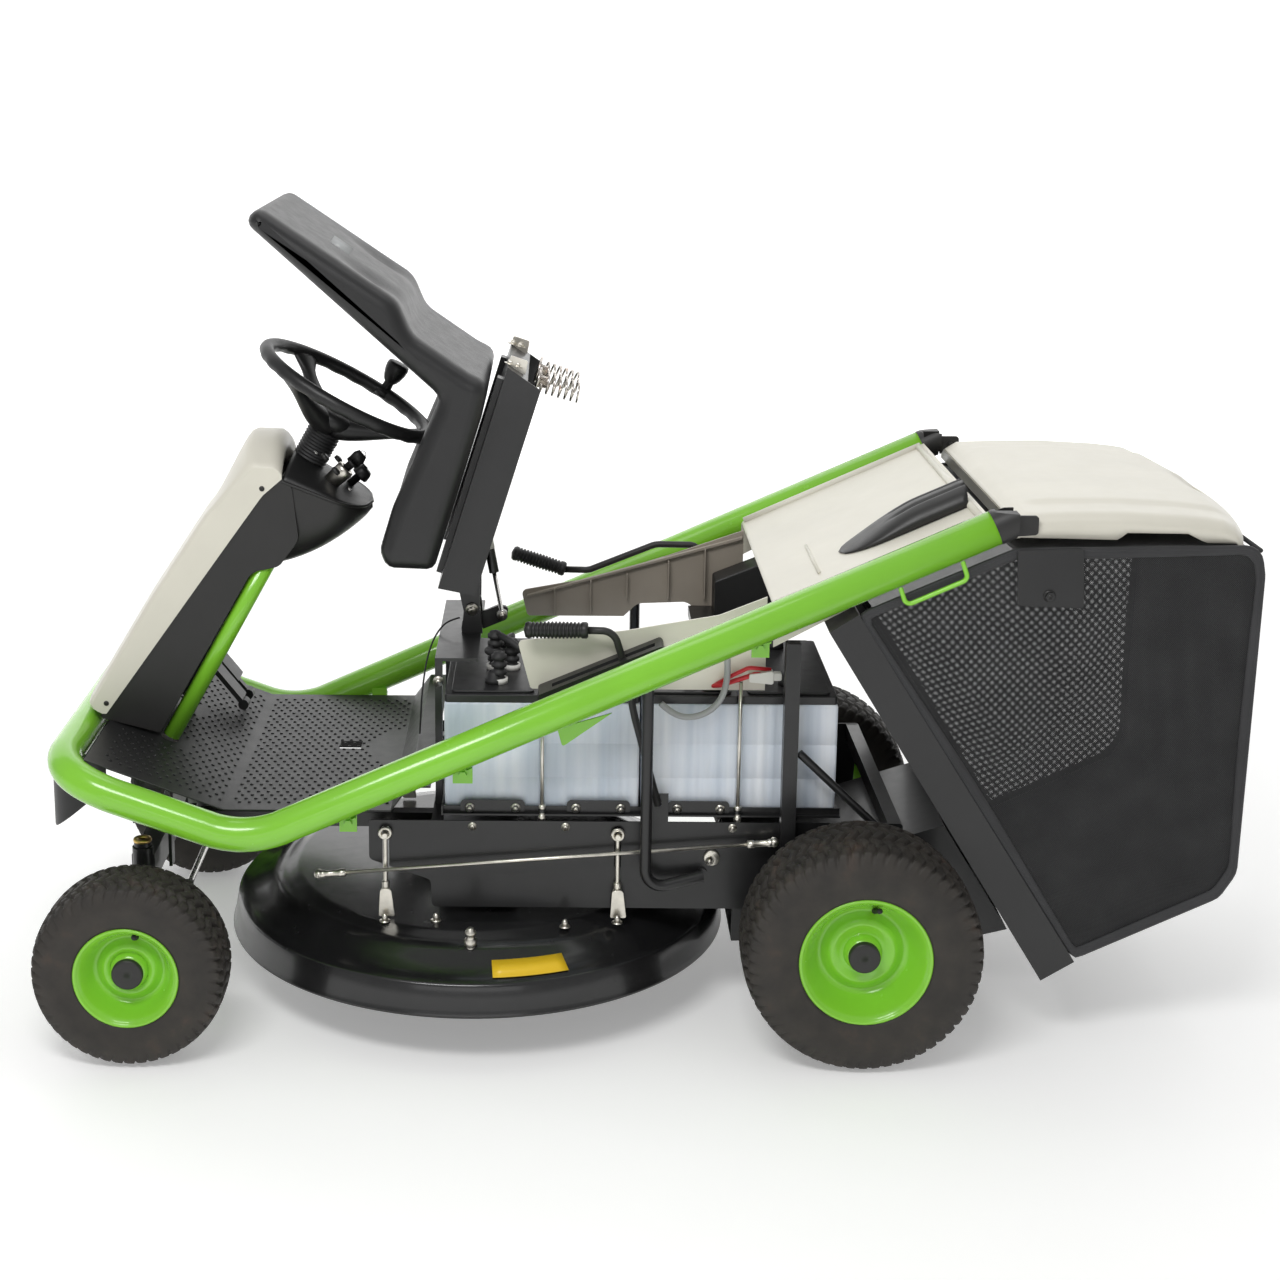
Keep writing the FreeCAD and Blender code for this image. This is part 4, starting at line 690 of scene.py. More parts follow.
# ---------------------------------------------------------------- cutting deck
def deck():
    """Pressed round shell: flat top, a step, a sloping shoulder and a flared lip."""
    low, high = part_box("deck_shell")
    centre = middle("deck_shell")
    radius = (high[1] - low[1]) / 2 / MM
    top, lip = high[2] / MM, low[2] / MM
    profile = [(top, 0.01), (top, radius - 128), (top - 1, radius - 118), (top - 6, radius - 104),
               (top - 7, radius - 96), (top - 9, radius - 86), (top - 16, radius - 74), (top - 27, radius - 60),
               (top - 38, radius - 42), (top - 44, radius - 28), (top - 47, radius - 16), (top - 52, radius - 11),
               (lip + 30, radius - 7), (lip + 12, radius - 4), (lip + 3, radius - 1.2), (lip, radius),
               (lip, radius - 4), (lip + 12, radius - 8), (lip + 40, radius - 12), (top - 49, radius - 20),
               (top - 43, radius - 42), (top - 30, radius - 66), (top - 12, radius - 92), (top - 4, radius - 124),
               (top - 4, 0.01)]
    base = Vector((centre.x, 0, 0))
    shell = piece_from("deck_pan", *lathe(profile, base, (0, 0, 1), 160), DECK_PAINT, "deck", ["deck_shell"],
                       slot="deck_paint")
    shell.modifiers.new("soft", "WEIGHTED_NORMAL")
    bolts = [bolt(at(x, y, top + 0.4), (0, 0, 1), 10, 14) for x, y in ((813, 300), (724, 296), (409, 300), (500, 318))]
    piece_from("deck_bolts", *joined(bolts), ZINC, "deck", slot="bright_steel")
    spot = at(661, 372, 175)
    profile = [(0, 0), (0, 12), (6, 12), (8, 8), (14, 8), (16, 11), (24, 11), (26, 7), (34, 7), (36, 9.5), (40, 9.5),
               (42, 6), (46, 6), (46, 0)]
    fitting = piece_from("wash_fitting", *lathe(profile, spot, (0, 0.1, 1), 28), ZINC, "deck", slot="bright_steel")
    fitting.modifiers.new("soft", "WEIGHTED_NORMAL")
    plate = []
    for step in range(9):
        turn = math.radians(95.4) + math.radians(17.6) * step / 8
        row = []
        for height, out in ((top - 44, radius - 28), (top - 27, radius - 60)):
            row.append(base + Vector((math.cos(turn), math.sin(turn), 0)) * (out + 1.6) * MM
                       + Vector((0, 0, (height + 1.6) * MM)))
        plate.append(row)
    label = piece_from("plain_deck_plate", *surface_grid(plate), YELLOW, "deck", slot="deck_paint")
    thick(label, 0.8)


deck()


# ---------------------------------------------------------------- batteries and tray
def ribbed_case(x_front, x_rear, y_low, y_high, z_low, z_high):
    """A battery case: shallow moulded ribs down its long walls and rounded corners."""
    ribs, depth = 9, 1.3
    count = ribs * 4
    outline = []
    for x_first, x_last, wall, inward in ((x_front, x_rear, y_high, -1), (x_rear, x_front, y_low, 1)):
        for step in range(count + 1):
            dip = depth * (0.5 - 0.5 * math.cos(2 * math.pi * ribs * step / count)) if 2 < step < count - 2 else 0
            outline.append((x_first + (x_last - x_first) * step / count, wall + inward * dip))
    rows = []
    cx, cy = (x_front + x_rear) / 2, (y_low + y_high) / 2
    for z, pull in ((z_low, 3), (z_low + 3, 0.6), (z_low + 60, 0), (z_low + 61, 0.5), (z_low + 62, 0),
                    (z_low + 122, 0), (z_low + 123, 0.5), (z_low + 124, 0), (z_high - 4, 0), (z_high, 1.0)):
        rows.append([at(x - math.copysign(pull, x - cx), y - math.copysign(pull, y - cy), z) for x, y in outline])
    return ring_solid(rows)


def batteries():
    low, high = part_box("battery_cases")
    front = (high[0] - AXLE_X) / MM
    rear = (low[0] - AXLE_X) / MM
    gap = 4                                            # between one case and the next
    pitch = (front - rear + gap) / 4
    y_low, y_high = low[1] / MM, high[1] / MM
    z_low, z_high = low[2] / MM, high[2] / MM
    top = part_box("battery_lids")[1][2] / MM
    parts, lids = [], []
    for index in range(4):
        x = front - index * pitch
        parts.append(ribbed_case(x, x - pitch + gap, y_low, y_high, z_low, z_high))
        for inset, radius, bottom, height in ((1, 6, z_high, top - 4), (12, 8, top - 4, top)):
            corners = []
            for place, y in ((0, y_high - inset), (1, y_high - inset), (1, y_low + inset), (0, y_low + inset)):
                corners.append((x - pitch + gap + inset if place else x - inset, y, radius))
            lids.append(prism(corners, bottom, height, flat=True))
    piece_from("battery_shells", *joined(parts), BATTERY, "chassis", ["battery_cases"], slot="battery_plastic")
    piece_from("battery_tops", *joined(lids), LID_PLASTIC, "chassis", ["battery_lids"], bevel=1.2,
               slot="battery_lid_plastic")
    boots, posts, wires = [], [], []
    for x, y, levels in ((627, 104, 5), (597, 104, 4), (618, 185, 4)):
        profile = [(0, 0)]
        for level in range(levels):
            base = level * 14.0
            profile += [(base, 10), (base + 2, 13.6), (base + 8, 13.6), (base + 10, 10), (base + 13, 9.4)]
        profile += [(levels * 14.0, 7), (levels * 14.0, 0)]
        boots.append(lathe(profile, at(x, y, top), (0, 0, 1), 26))
        posts.append(lathe([(0, 0), (0, 15.5), (9, 15.5), (9, 0)], at(x, y, top), (0, 0, 1), 30))
    for index in range(4):
        x = front - (index + 0.5) * pitch
        for y in (y_high - 60, y_low + 60):
            boots.append(lathe([(0, 0), (0, 17), (7, 17), (12, 13), (19, 12), (22, 8), (22, 0)], at(x, y, top),
                               (0, 0, 1), 24))
    for route in (((627, 104, 66), (600, 128, 58), (560, 150, 34), (470, 176, 16), (392, 188, 20)),
                  ((614, 185, 50), (640, 150, 46), (628, 60, 30), (600, -40, 18))):
        boots.append(tube(path([(x, y, top + z, 24) for x, y, z in route]), 6.5, 14))
    piece_from("terminal_boots", *joined(boots), RUBBER, "chassis", ["battery_terminals"], slot="soft_rubber")
    piece_from("terminal_posts", *joined(posts), WHITE_PLASTIC, "chassis", slot="soft_rubber")
    wires.append(tube(path([(146, 258, 636), (176, 262, 640, 14), (204, 256, 628, 14), (236, 240, 612, 16),
                            (262, 214, 602)]), 4.2, 12))
    wires.append(tube(path([(150, 256, 646), (188, 258, 650, 14), (214, 250, 634, 14), (250, 226, 604)]), 3.6, 12))
    piece_from("charge_leads", *joined(wires), RED_PLASTIC, "chassis", slot="soft_rubber")
    plug = joined([prism([(146, 622, 4), (188, 626, 4), (188, 640, 4), (146, 646, 4)], 249, 267),
                   prism([(132, 628, 3), (147, 628, 3), (147, 642, 3), (132, 642, 3)], 252, 264)])
    piece_from("charge_plug", *plug, WHITE_PLASTIC, "chassis", bevel=1.0, slot="soft_rubber")
    keep("battery_tray", BLACK_PAINT, bevel=0.6)
    studs = []
    for x in (587, 667, 404, 482, 231, 306):
        studs.append(bolt(at(x, y_high + 9.6, 391), (0, 1, 0), 9, 9))
    for x in (662, 500, 360, 210):
        studs.append(bolt(at(x, 268, 362), (0, 1, 0), 8, 6))
    for x, high_end in ((541, 586), (201, 624)):
        studs.append(tube(path([(x, 259, 384), (x, 259, high_end)]), 3.3, 14))
        studs.append(lathe([(0, 0), (0, 6.5), (9, 6.5), (10, 5), (20, 5), (21, 6.5), (28, 6.5), (28, 0)],
                           at(x, 259, 371), (0, 0, 1), 8))
    piece_from("tray_studs", *joined(studs), ZINC, "chassis", slot="bright_steel")


batteries()


# ---------------------------------------------------------------- seat, pan, springs and strut
def resample(line, count):
    """A closed line with its points evenly spaced."""
    closed = line + [line[0]]
    lengths = [0.0]
    for a, b in zip(closed, closed[1:]):
        lengths.append(lengths[-1] + (b - a).length)
    made, span = [], 0
    for step in range(count):
        target = lengths[-1] * step / count
        while lengths[span + 1] < target:
            span += 1
        part = (target - lengths[span]) / max(1e-9, lengths[span + 1] - lengths[span])
        made.append(closed[span].lerp(closed[span + 1], part))
    return made


def seat():
    """One-piece bucket seat: a rounded block across, hollowed for the driver with raised wings."""
    outline = [(812, 806, 20), (824, 836, 26), (801, 912, 60), (719, 1104, 26), (730, 1117, 22), (1043, 1399, 16),
               (1021, 1426, 20), (788, 1270, 50), (764, 1212, 46), (668, 1146, 60), (634, 1130, 30),
               (648, 1070, 90), (730, 803, 16)]
    line = resample(rounded(outline, 10), 176)
    size = len(line)
    normals = []
    for index in range(size):
        along = (line[(index + 2) % size] - line[index - 2]).normalized()
        normals.append(Vector((along.y, -along.x)))
    area = sum(line[i - 1].x * line[i].y - line[i].x * line[i - 1].y for i in range(size))
    if area < 0:
        normals = [-n for n in normals]
    low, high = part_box("seat_shell")
    half = (high[1] - low[1]) / 2 / MM
    seat_axis = Vector((-0.297, 0.955))
    stations = [-1, -0.992, -0.975, -0.95, -0.92, -0.88] + [-0.84 + 0.06 * i for i in range(29)]
    stations += [0.88, 0.92, 0.95, 0.975, 0.992, 1]
    rows = []
    for station in stations:
        y = station * half
        edge = max(0.0, (abs(station) - 0.86) / 0.14)
        shrink = 26.0 * (1 - math.sqrt(max(0.0, 1 - edge * edge)))
        hollow = ease((0.80 - abs(station)) / 0.26)
        row = []
        for point, outward in zip(line, normals):
            place = point - outward * shrink
            height = (point - Vector((729, 801))).dot(seat_axis)
            front = outward.dot(Vector((0.955, 0.297))) > 0.45 and height < 318
            inner = outward.dot(Vector((0.673, -0.739))) > 0.55 and height >= 270
            if front:
                along = ease(height / 70) * ease((330 - height) / 60)
                place = place - Vector((0.955, 0.297)) * 34 * hollow * along
            if inner:
                reach = (point - Vector((728, 1114))).dot(Vector((0.739, 0.673)))
                along = ease((reach + 40) / 90) * ease((395 - reach) / 60)
                place = place - Vector((0.673, -0.739)) * 22 * hollow * along
            outer = outward.dot(Vector((-0.56, 0.83))) > 0.6 and 0.30 < abs(station) < 0.92
            if outer:
                reach = (point - Vector((788, 1270))).dot(Vector((0.83, 0.56)))
                dent = math.exp(-((reach - 60) / 60) ** 2) * math.exp(-((abs(station) - 0.60) / 0.16) ** 2)
                place = place + Vector((0.56, -0.83)) * 9 * dent
            row.append(at(place.x, y, place.y))
        rows.append(row)
    body = piece_from("seat_moulding", *ring_solid(rows), SEAT_VINYL, "seat", ["seat_shell"], slot="seat_skin")
    for polygon in body.data.polygons[-2:]:
        polygon.use_smooth = False
    slot_way = Vector((0.83, 0, 0.56)).normalized()
    tag_centre = at(884, half - 44, 1357)
    tag_up = Vector((-0.42, 0.62, 0.66)).normalized()
    tag_side = slot_way.cross(tag_up).normalized()
    corners = []
    for u, v in ((-1, -1), (1, -1), (1, 1), (-1, 1)):
        corners.append(tag_centre + slot_way * 0.019 * u + tag_side * 0.009 * v + tag_up * 0.004)
    thick(piece_from("seat_tag", corners, [(0, 1, 2, 3)], HOSE_GREY, "seat", slot="seat_skin"), 0.6)


PAN_UP = Vector((-0.297, 0, 0.955))
PAN_AHEAD = Vector((0.955, 0, 0.297))


def seat_hardware():
    keep("seat_pan", BLACK_PAINT, bevel=1.4)
    keep("seat_bracket", BLACK_PAINT, bevel=0.9)
    keep("strut_rod", STEEL, bevel=0)
    cylinder = keep("strut_cylinder", BLACK_PAINT, bevel=0.5)
    cylinder.data.materials.append(WHITE_PLASTIC)
    foot, head = at(617, 14, 672), at(650, 14, 850)
    way = (head - foot).normalized()
    sleeve = lathe([(0, 6), (0, 9.6), (34, 9.6), (34, 6)], head - way * 0.055, way, 28)
    piece_from("strut_sleeve", *sleeve, WHITE_PLASTIC, "strut_upper", slot="bright_steel")
    coils = []
    for side in (1, -1):
        foot = at(551, side * 60, 1112) - PAN_AHEAD * 0.004
        down = -PAN_AHEAD
        first = Vector((0, 1, 0))
        second = down.cross(first).normalized()
        turns, pitch, radius = 6.2, 11.2, 19.0
        line = []
        for step in range(int(turns * 26) + 1):
            t = step / 26
            spread = radius * (1 - 0.10 * (t / turns))
            turn = 2 * math.pi * t
            line.append(foot + down * pitch * t * MM + swing(first, second, turn) * spread * MM)
        coils.append(tube(line, 1.9, 10))
        seat_cup = [(-9, 0), (-9, 24), (-5, 24), (-4, 12), (10, 10), (12, 6), (12, 0)]
        coils.append(lathe(seat_cup, foot, down, 30))
    piece_from("pan_springs", *joined(coils), SPRING_STEEL, "seat_carrier", ["seat_springs"], slot="bright_steel")
    catch = []
    for side in (1, -1):
        base = at(588, side * 118, 1146)
        for reach in (0.0, 0.014):
            catch.append(bolt(base + PAN_AHEAD * reach, PAN_UP, 11, 9))
    ear = [(575, 1132, 2), (606, 1142, 2), (600, 1166, 3), (570, 1156, 3)]
    catch += [prism(ear, low, low + 4) for low in (118, -122)]
    piece_from("pan_catches", *joined(catch), ZINC, "seat_carrier", bevel=0.5, slot="bright_steel")
    hinge = [bolt(at(671, side * 46, 690), (0, side, 0), 12, 9) for side in (1, -1)]
    hinge.append(bolt(at(617, 22, 672), (0, 1, 0), 8, 6))
    hinge.append(bolt(at(724, 190.4, 600), (0, 1, 0), 10, 7))
    piece_from("hinge_bolts", *joined(hinge), ZINC, "chassis", slot="bright_steel")


seat()
seat_hardware()


# ---------------------------------------------------------------- steering wheel, boot and dash
TILT = math.radians(29.0)
STEER_AXIS = Vector((-math.sin(TILT), 0, math.cos(TILT)))
STEER_CENTRE = at(896, 0, 1082)
STEER_AHEAD = Vector((math.cos(TILT), 0, math.sin(TILT)))
STEER_SIDE = Vector((0, 1, 0))


def steering_wheel():
    """Moulded rim with finger waves, a bell-shaped hub and three flaring spokes, and a spinner knob."""
    around, ring_sides, radius, thickness = 192, 22, 161.0, 12.6
    points = []
    for step in range(around):
        turn = 2 * math.pi * step / around
        out = swing(STEER_AHEAD, STEER_SIDE, turn)
        waves = 1.0 - 0.10 * (0.5 + 0.5 * math.cos(turn * 26))
        for index in range(ring_sides):
            angle = 2 * math.pi * index / ring_sides
            under = ease(-math.sin(angle) * 0.5 + 0.5)
            reach = thickness * (1 + (waves - 1) * under)
            points.append(STEER_CENTRE + out * (radius + reach * math.cos(angle)) * MM
                          + STEER_AXIS * reach * math.sin(angle) * MM)
    parts = [(points, ring_faces(around, ring_sides, wrap=True))]
    for angle in (180.0, 50.0, -50.0):
        way = swing(STEER_AHEAD, STEER_SIDE, math.radians(angle))
        side = way.cross(STEER_AXIS)
        points = []
        rows, size = 15, 20
        for row in range(rows):
            t = row / (rows - 1)
            spot = STEER_CENTRE + way * (8 + 150 * t) * MM + STEER_AXIS * (-70 + 68 * t ** 1.25) * MM
            wide = 31 - 17 * ease(t * 1.4) + 14 * ease((t - 0.72) / 0.28)
            deep = 22 - 13 * ease(t * 1.2)
            across = (STEER_AXIS - way * 0.45).normalized()
            for index in range(size):
                spin = 2 * math.pi * index / size
                points.append(spot + side * wide * math.cos(spin) * MM + across * deep * math.sin(spin) * MM)
        parts.append((points, ring_faces(rows, size)))
    profile = [(-82, 0), (-82, 24), (-76, 31), (-66, 40), (-56, 43), (-48, 40), (-43, 30), (-41, 14), (-41, 0)]
    parts.append(lathe(profile, STEER_CENTRE, STEER_AXIS, 44))
    base = STEER_CENTRE + swing(STEER_AHEAD, STEER_SIDE, math.radians(-112.0)) * radius * MM
    profile = [(6, 0), (6, 10), (22, 9), (26, 13), (34, 17), (46, 20.5), (56, 21.5), (62, 20), (64, 15), (64, 0)]
    parts.append(lathe(profile, base, STEER_AXIS, 36))
    parts.append(lathe([(-6, 0), (-6, 17), (6, 17), (6, 0)], base, STEER_AXIS, 24))
    shaft = [STEER_CENTRE + STEER_AXIS * d * MM for d in (-650, -400, -76)]
    parts.append(tube(shaft, 7.8, 20))
    piece_from("steering_wheel_moulding", *joined(parts), BLACK_PLASTIC, "steering", ["steering_wheel"],
               slot="black_plastic").modifiers.new("soft", "WEIGHTED_NORMAL")


def boot():
    profile = [(-150, 21), (-150, 31)]
    for ring in range(11):
        base = -146 + ring * 6.0
        profile += [(base, 30.5), (base + 1.6, 31.5), (base + 3.4, 25.5), (base + 5.0, 26)]
    profile += [(-80, 26), (-80, 21)]
    made = lathe(profile, STEER_CENTRE, STEER_AXIS, 56)
    piece_from("column_bellows", *made, RUBBER, "chassis", ["steering_boot"], slot="soft_rubber")


DASH_UP = Vector((-0.748, 0, 0.664))
DASH_ALONG = Vector((0.664, 0, 0.748))


def dash():
    """Key switch with its round bezel, a speed knob, small lamps and screws on the dash plate."""
    key_foot, knob_foot = at(905, 38, 939), at(884, -34, 915)
    bezel = lathe([(-24, 9), (-24, 15), (8, 17), (13, 16), (14, 14), (14, 9)], key_foot, DASH_UP, 36)
    piece_from("key_bezel", *bezel, ZINC, "chassis", slot="bright_steel")
    barrel = lathe([(-22, 0), (-22, 7.6), (24, 7.6), (26, 12.5), (30, 12.5), (31, 0)], key_foot, DASH_UP, 32)
    blade = ((-12, 30), (12, 30), (13, 44), (9, 53), (-9, 53), (-13, 44))
    key = ring_solid([[key_foot + DASH_ALONG * u * MM + DASH_UP * w * MM + Vector((0, y * MM, 0)) for u, w in blade]
                      for y in (-3, 3)])
    piece_from("key_and_barrel", *joined([barrel, key]), BLACK_PLASTIC, "ignition_key",
               ["key_switch"], slot="bright_steel")
    profile = [(-24, 0), (-24, 7.6), (6, 7.6), (6, 16), (9, 17), (20, 14.5), (24, 12), (25, 0)]
    knob = lathe(profile, knob_foot, DASH_UP, 28)
    pointer = [knob_foot + DASH_UP * 26 * MM + DASH_ALONG * t * 13 * MM for t in (0, 1)]
    piece_from("speed_control_knob", *joined([knob, tube(pointer, 1.6, 10)]), BLACK_PLASTIC, "speed_control",
               ["speed_knob"], slot="black_plastic")
    for name, spots, lift, profile, sides, material, slot in (
            ("dash_buttons", ((42, 66), (42, -64), (12, 78), (-6, 10), (18, -4)), 1.5,
             [(0, 0), (0, 8.5), (5, 8.5), (7, 6), (7, 0)], 24, CAP_PLASTIC, "black_plastic"),
            ("dash_screws", ((60, 84), (60, -84), (-28, 84), (-28, -84)), 1.0,
             [(0, 0), (0, 4.4), (2, 3.8), (2, 0)], 16, STEEL, "bright_steel")):
        parts = []
        for u, y in spots:
            spot = key_foot + DASH_ALONG * u * MM + Vector((0, (y - 38) * MM, 0)) + DASH_UP * lift * MM
            parts.append(lathe(profile, spot, DASH_UP, sides))
        piece_from(name, *joined(parts), material, "chassis", slot=slot)
    ring_line = []
    for step in range(25):
        turn = 2 * math.pi * step / 24
        ring_line.append(key_foot + DASH_UP * (0.052 + 0.006 * math.cos(turn)) + DASH_ALONG * 0.006 * math.sin(turn))
    piece_from("key_ring", *tube(ring_line[:-1], 0.8, 8, closed=True), STEEL, "ignition_key", slot="bright_steel")


steering_wheel()
boot()
dash()


# ---------------------------------------------------------------- column cover, shroud, floor and bumper
def bowl_half(u):
    """Half the bowl's width, from its round nose at 0 to its mouth at 1."""
    return 105.0 * math.sqrt(max(0.0, 1 - (1 - min(1.0, u / 0.42)) ** 2)) + 0.5


def column():
    """Steering column: an arched cream cover, dark flanks and the boat-shaped bowl under a domed dash."""
    outer = [(1333, 508, 4), (1361, 522, 10), (1241, 721, 300), (1138, 877, 120), (1056, 966, 16), (1012, 964, 6),
             (998, 948, 4), (1037, 914, 10)]
    line = resample(rounded(outer, 8), 132)
    stations = [-1, -0.99, -0.965, -0.93] + [-0.88 + 0.08 * i for i in range(23)] + [0.93, 0.965, 0.99, 1]
    rows = []
    for station in stations:
        crown = 1 - abs(station) ** 2.2
        pull = 5.0 * max(0.0, (abs(station) - 0.93) / 0.07) ** 2
        row = []
        for point in line:
            lift = 46.0 * crown * ease((point.y - 880) / 90)
            front = ease((point.x + 0.62 * point.y - 1600) / 60)
            row.append(at(point.x + 9.0 * crown * front - pull * front, 110.0 * station, point.y + lift - pull * 0.5))
        rows.append(row)
    cover = piece_from("cover_moulding", *ring_solid(rows), CREAM_PLASTIC, "chassis", ["column_cover"],
                       slot="cream_plastic")
    for polygon in cover.data.polygons[-2:]:
        polygon.use_smooth = False
    flank = prism([(1340, 500, 6), (1231, 472, 6), (1060, 772, 30), (1010, 783, 20), (974, 832, 24), (984, 926, 12),
                   (1003, 944), (1040, 912)], -107.5, 107.5)
    spots, across, around = 22, 16, 22
    rows = []
    for step in range(spots + 1):
        u = step / spots
        wide = bowl_half(u)
        rim_x, rim_z = 853 + 150 * u, 879 + 58 * u
        keel_x = 852 + 215 * u
        keel_z = 868 - 100 * math.sin(min(1.0, u * 1.02) * math.pi / 2) ** 0.9
        row = []
        for index in range(around + 1):
            turn = math.pi * index / around
            sink = math.sin(turn) ** 0.85
            side = math.copysign(abs(math.cos(turn)) ** 0.55, math.cos(turn))
            row.append(at(rim_x + (keel_x - rim_x) * sink, wide * side, rim_z + (keel_z - rim_z) * sink))
        rows.append(row)
    hull = surface_grid(rows)
    rows = []
    for step in range(spots + 1):
        u = step / spots
        wide = bowl_half(u)
        row = []
        for index in range(across + 1):
            t = -1 + 2 * index / across
            dome = (1 - abs(t) ** 2.4) * ease(u * 1.6)
            row.append(at(853 + 150 * u - 12 * dome * u, wide * t, 879 + 58 * u + 30 * dome * u + 6 * dome))
        rows.append(row)
    top = surface_grid(rows)
    lip = []
    for step in range(-spots, spots + 1):
        u = abs(step) / spots
        wide = bowl_half(u)
        lip.append(at(853 + 150 * u, math.copysign(wide, step) if step else 0.0, 879 + 58 * u))
    bowl = piece_from("column_bowl", *joined([hull, flank, tube(lip, 3.2, 10)]), DASH_PLASTIC, "chassis",
                      ["column_shroud"], slot="black_plastic")
    smooth_edges(bowl, 2.0)
    dome = piece_from("dash_dome", *top, BLACK_PLASTIC, "chassis", ["dash_panel"], slot="black_plastic")
    thick(dome, 2.0)
    screws = []
    for x, z in ((1037, 925), (1326, 528)):
        for side in (1, -1):
            screws.append(lathe([(0, 0), (0, 5), (1.4, 4.6), (2.2, 2.4), (2.2, 0)], at(x, side * 109.6, z),
                                (0, side, 0), 18))
    piece_from("cover_screws", *joined(screws), CAP_PLASTIC, "chassis", slot="black_plastic")
    keep("floor_pan", BLACK_PLASTIC, bevel=0.8)
    keep("front_bumper", BLACK_PLASTIC, bevel=4.0)


def floor_mat():
    """Raised anti-slip studs in rows over the floor and up its sloping front."""
    studs = []
    pitch = 17.0
    slope = math.atan2(88, 236)
    for row in range(30):
        for column in range(34):
            x = 800 + pitch * row + (pitch / 2 if column % 2 else 0)
            y = -(pitch * 33 / 2) + pitch * column
            at_column = x > 1206 and abs(y) < 118
            at_stay = abs(abs(y) - 88) < 24 and 1180 < x < 1250
            at_bend = 1080 <= x <= 1092
            if not 806 <= x <= 1296 or abs(y) > 296 or math.hypot(x - 736, y) < 130 or at_column or at_stay or at_bend:
                continue
            z, way = 408, Vector((0, 0, 1))
            if x > 1092:
                z = 408 + (x - 1086) * 88 / 236
                way = Vector((-math.sin(slope), 0, math.cos(slope)))
            studs.append(lathe([(0, 0), (0, 3.3), (1.5, 2.5), (1.9, 0)], at(x, y, z), way, 8))
    piece_from("floor_studs", *joined(studs), BLACK_PLASTIC, "chassis", slot="black_paint")


column()
floor_mat()


# ---------------------------------------------------------------- side panels, rear cover and pod
def bodywork():
    # The far side panel is cream plastic painted darker, as painted shade.
    for node, material, bevel in (
            ("side_panel_left", CREAM_PLASTIC, 1.6), ("side_panel_right", CREAM_IN_SHADE, 1.6),
            ("lever_guide", BLACK_PLASTIC, 3.0), ("controller_box", BLACK_PLASTIC, 3.0),
            ("rear_cover", CREAM_PLASTIC, 3.0)):
        keep(node, material, bevel=bevel)
    # The ribs on the far panel's inner face carry the same painted shade.
    ribs = []
    for x, bottom, top in ((520, 606, 660), (450, 606, 676), (380, 640, 690), (300, 640, 716), (230, 640, 740)):
        ribs.append(cuboid(x, x + 3, -227.6, -212, bottom, top))
    ribs.append(prism([(576, 640), (574, 645), (160, 764), (160, 758)], -227.6, -218))
    piece_from("panel_ribs", *joined(ribs), CREAM_IN_SHADE, "chassis", bevel=0.8, slot="cream_plastic")


def cover_z(x):
    return rail_z(x) + 12.0


def rear_cover_relief():
    """A raised rim round the cover and a seam across its front."""
    rim = []
    edge = 303.0
    for side in (1, -1):
        line = path([(x, side * edge, cover_z(x) + 1, corner) for x, corner in ((150, 0), (60, 20), (-190, 0))])
        rim.append(tube(line, 7.0, 16))
    rim.append(tube(path([(-186, y, cover_z(-186) + 1) for y in (-edge, 0, edge)]), 6.5, 16))
    seam = path([(70, 40, cover_z(70) + 0.5), (70, 230, cover_z(70) + 0.5)])
    rim.append(tube(seam, 3.0, 12))
    piece_from("rear_cover_rim", *joined(rim), CREAM_PLASTIC, "chassis", slot="cream_plastic")


def pod():
    """The dark teardrop housing on the cover: rounded nose, tall tail and two long grooves."""
    low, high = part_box("cover_pod")
    y_low, y_high = low[1] / MM, high[1] / MM
    x_front, x_rear = 28.0, -181.0
    rows = []
    steps, across = 26, 30
    for row in range(steps + 1):
        t = row / steps
        x = x_front + (x_rear - x_front) * t
        height = 1.0 + 33.0 * ease(t * 1.55) ** 0.8
        width = (y_high - y_low) / 2 * math.sqrt(max(0.0, 1 - (1 - min(1.0, t * 2.6)) ** 2.2))
        width = max(width, 1.0)
        line = []
        for index in range(across + 1):
            s = -1 + 2 * index / across
            edge = (1 - abs(s) ** 3.4) ** 0.62
            groove = 4.5 * ease((t - 0.35) * 6) * sum(math.exp(-((s - g) / 0.085) ** 2) for g in (-0.30, 0.30))
            line.append(at(x, (y_low + y_high) / 2 + s * width, cover_z(x) + 1.0 + max(0.0, height * edge - groove)))
        rows.append(line)
    tail = []
    for index in range(across + 1):
        s = -1 + 2 * index / across
        tail.append(at(x_rear - 1, (y_low + y_high) / 2 + s * (y_high - y_low) / 2, cover_z(x_rear) + 0.6))
    rows.append(tail)
    piece = piece_from("pod_shell", *surface_grid(rows), DASH_PLASTIC, "chassis", ["cover_pod"], slot="black_plastic")
    thick(piece, 1.2, 0.0)


bodywork()
rear_cover_relief()
pod()


# ---------------------------------------------------------------- levers and pedals
def ribbed_grip(first, last, radius):
    """A soft hand grip: thick collar, fine rings along it and a rounded end."""
    way = last - first
    length = way.length / MM
    profile = [(0, 0), (0, radius * 0.80), (3, radius * 0.95), (10, radius * 0.95), (12, radius * 0.84)]
    along = 14.0
    while along < length - 16:
        swell = radius * (0.88 + 0.10 * math.sin(math.pi * along / length))
        profile += [(along, swell - 2.4), (along + 1.0, swell), (along + 3.6, swell), (along + 4.6, swell - 2.4)]
        along += 6.4
    profile += [(length - 14, radius * 0.90), (length - 8, radius * 0.97), (length - 3, radius * 0.80), (length, 0)]
    return lathe(profile, first, way, 36)


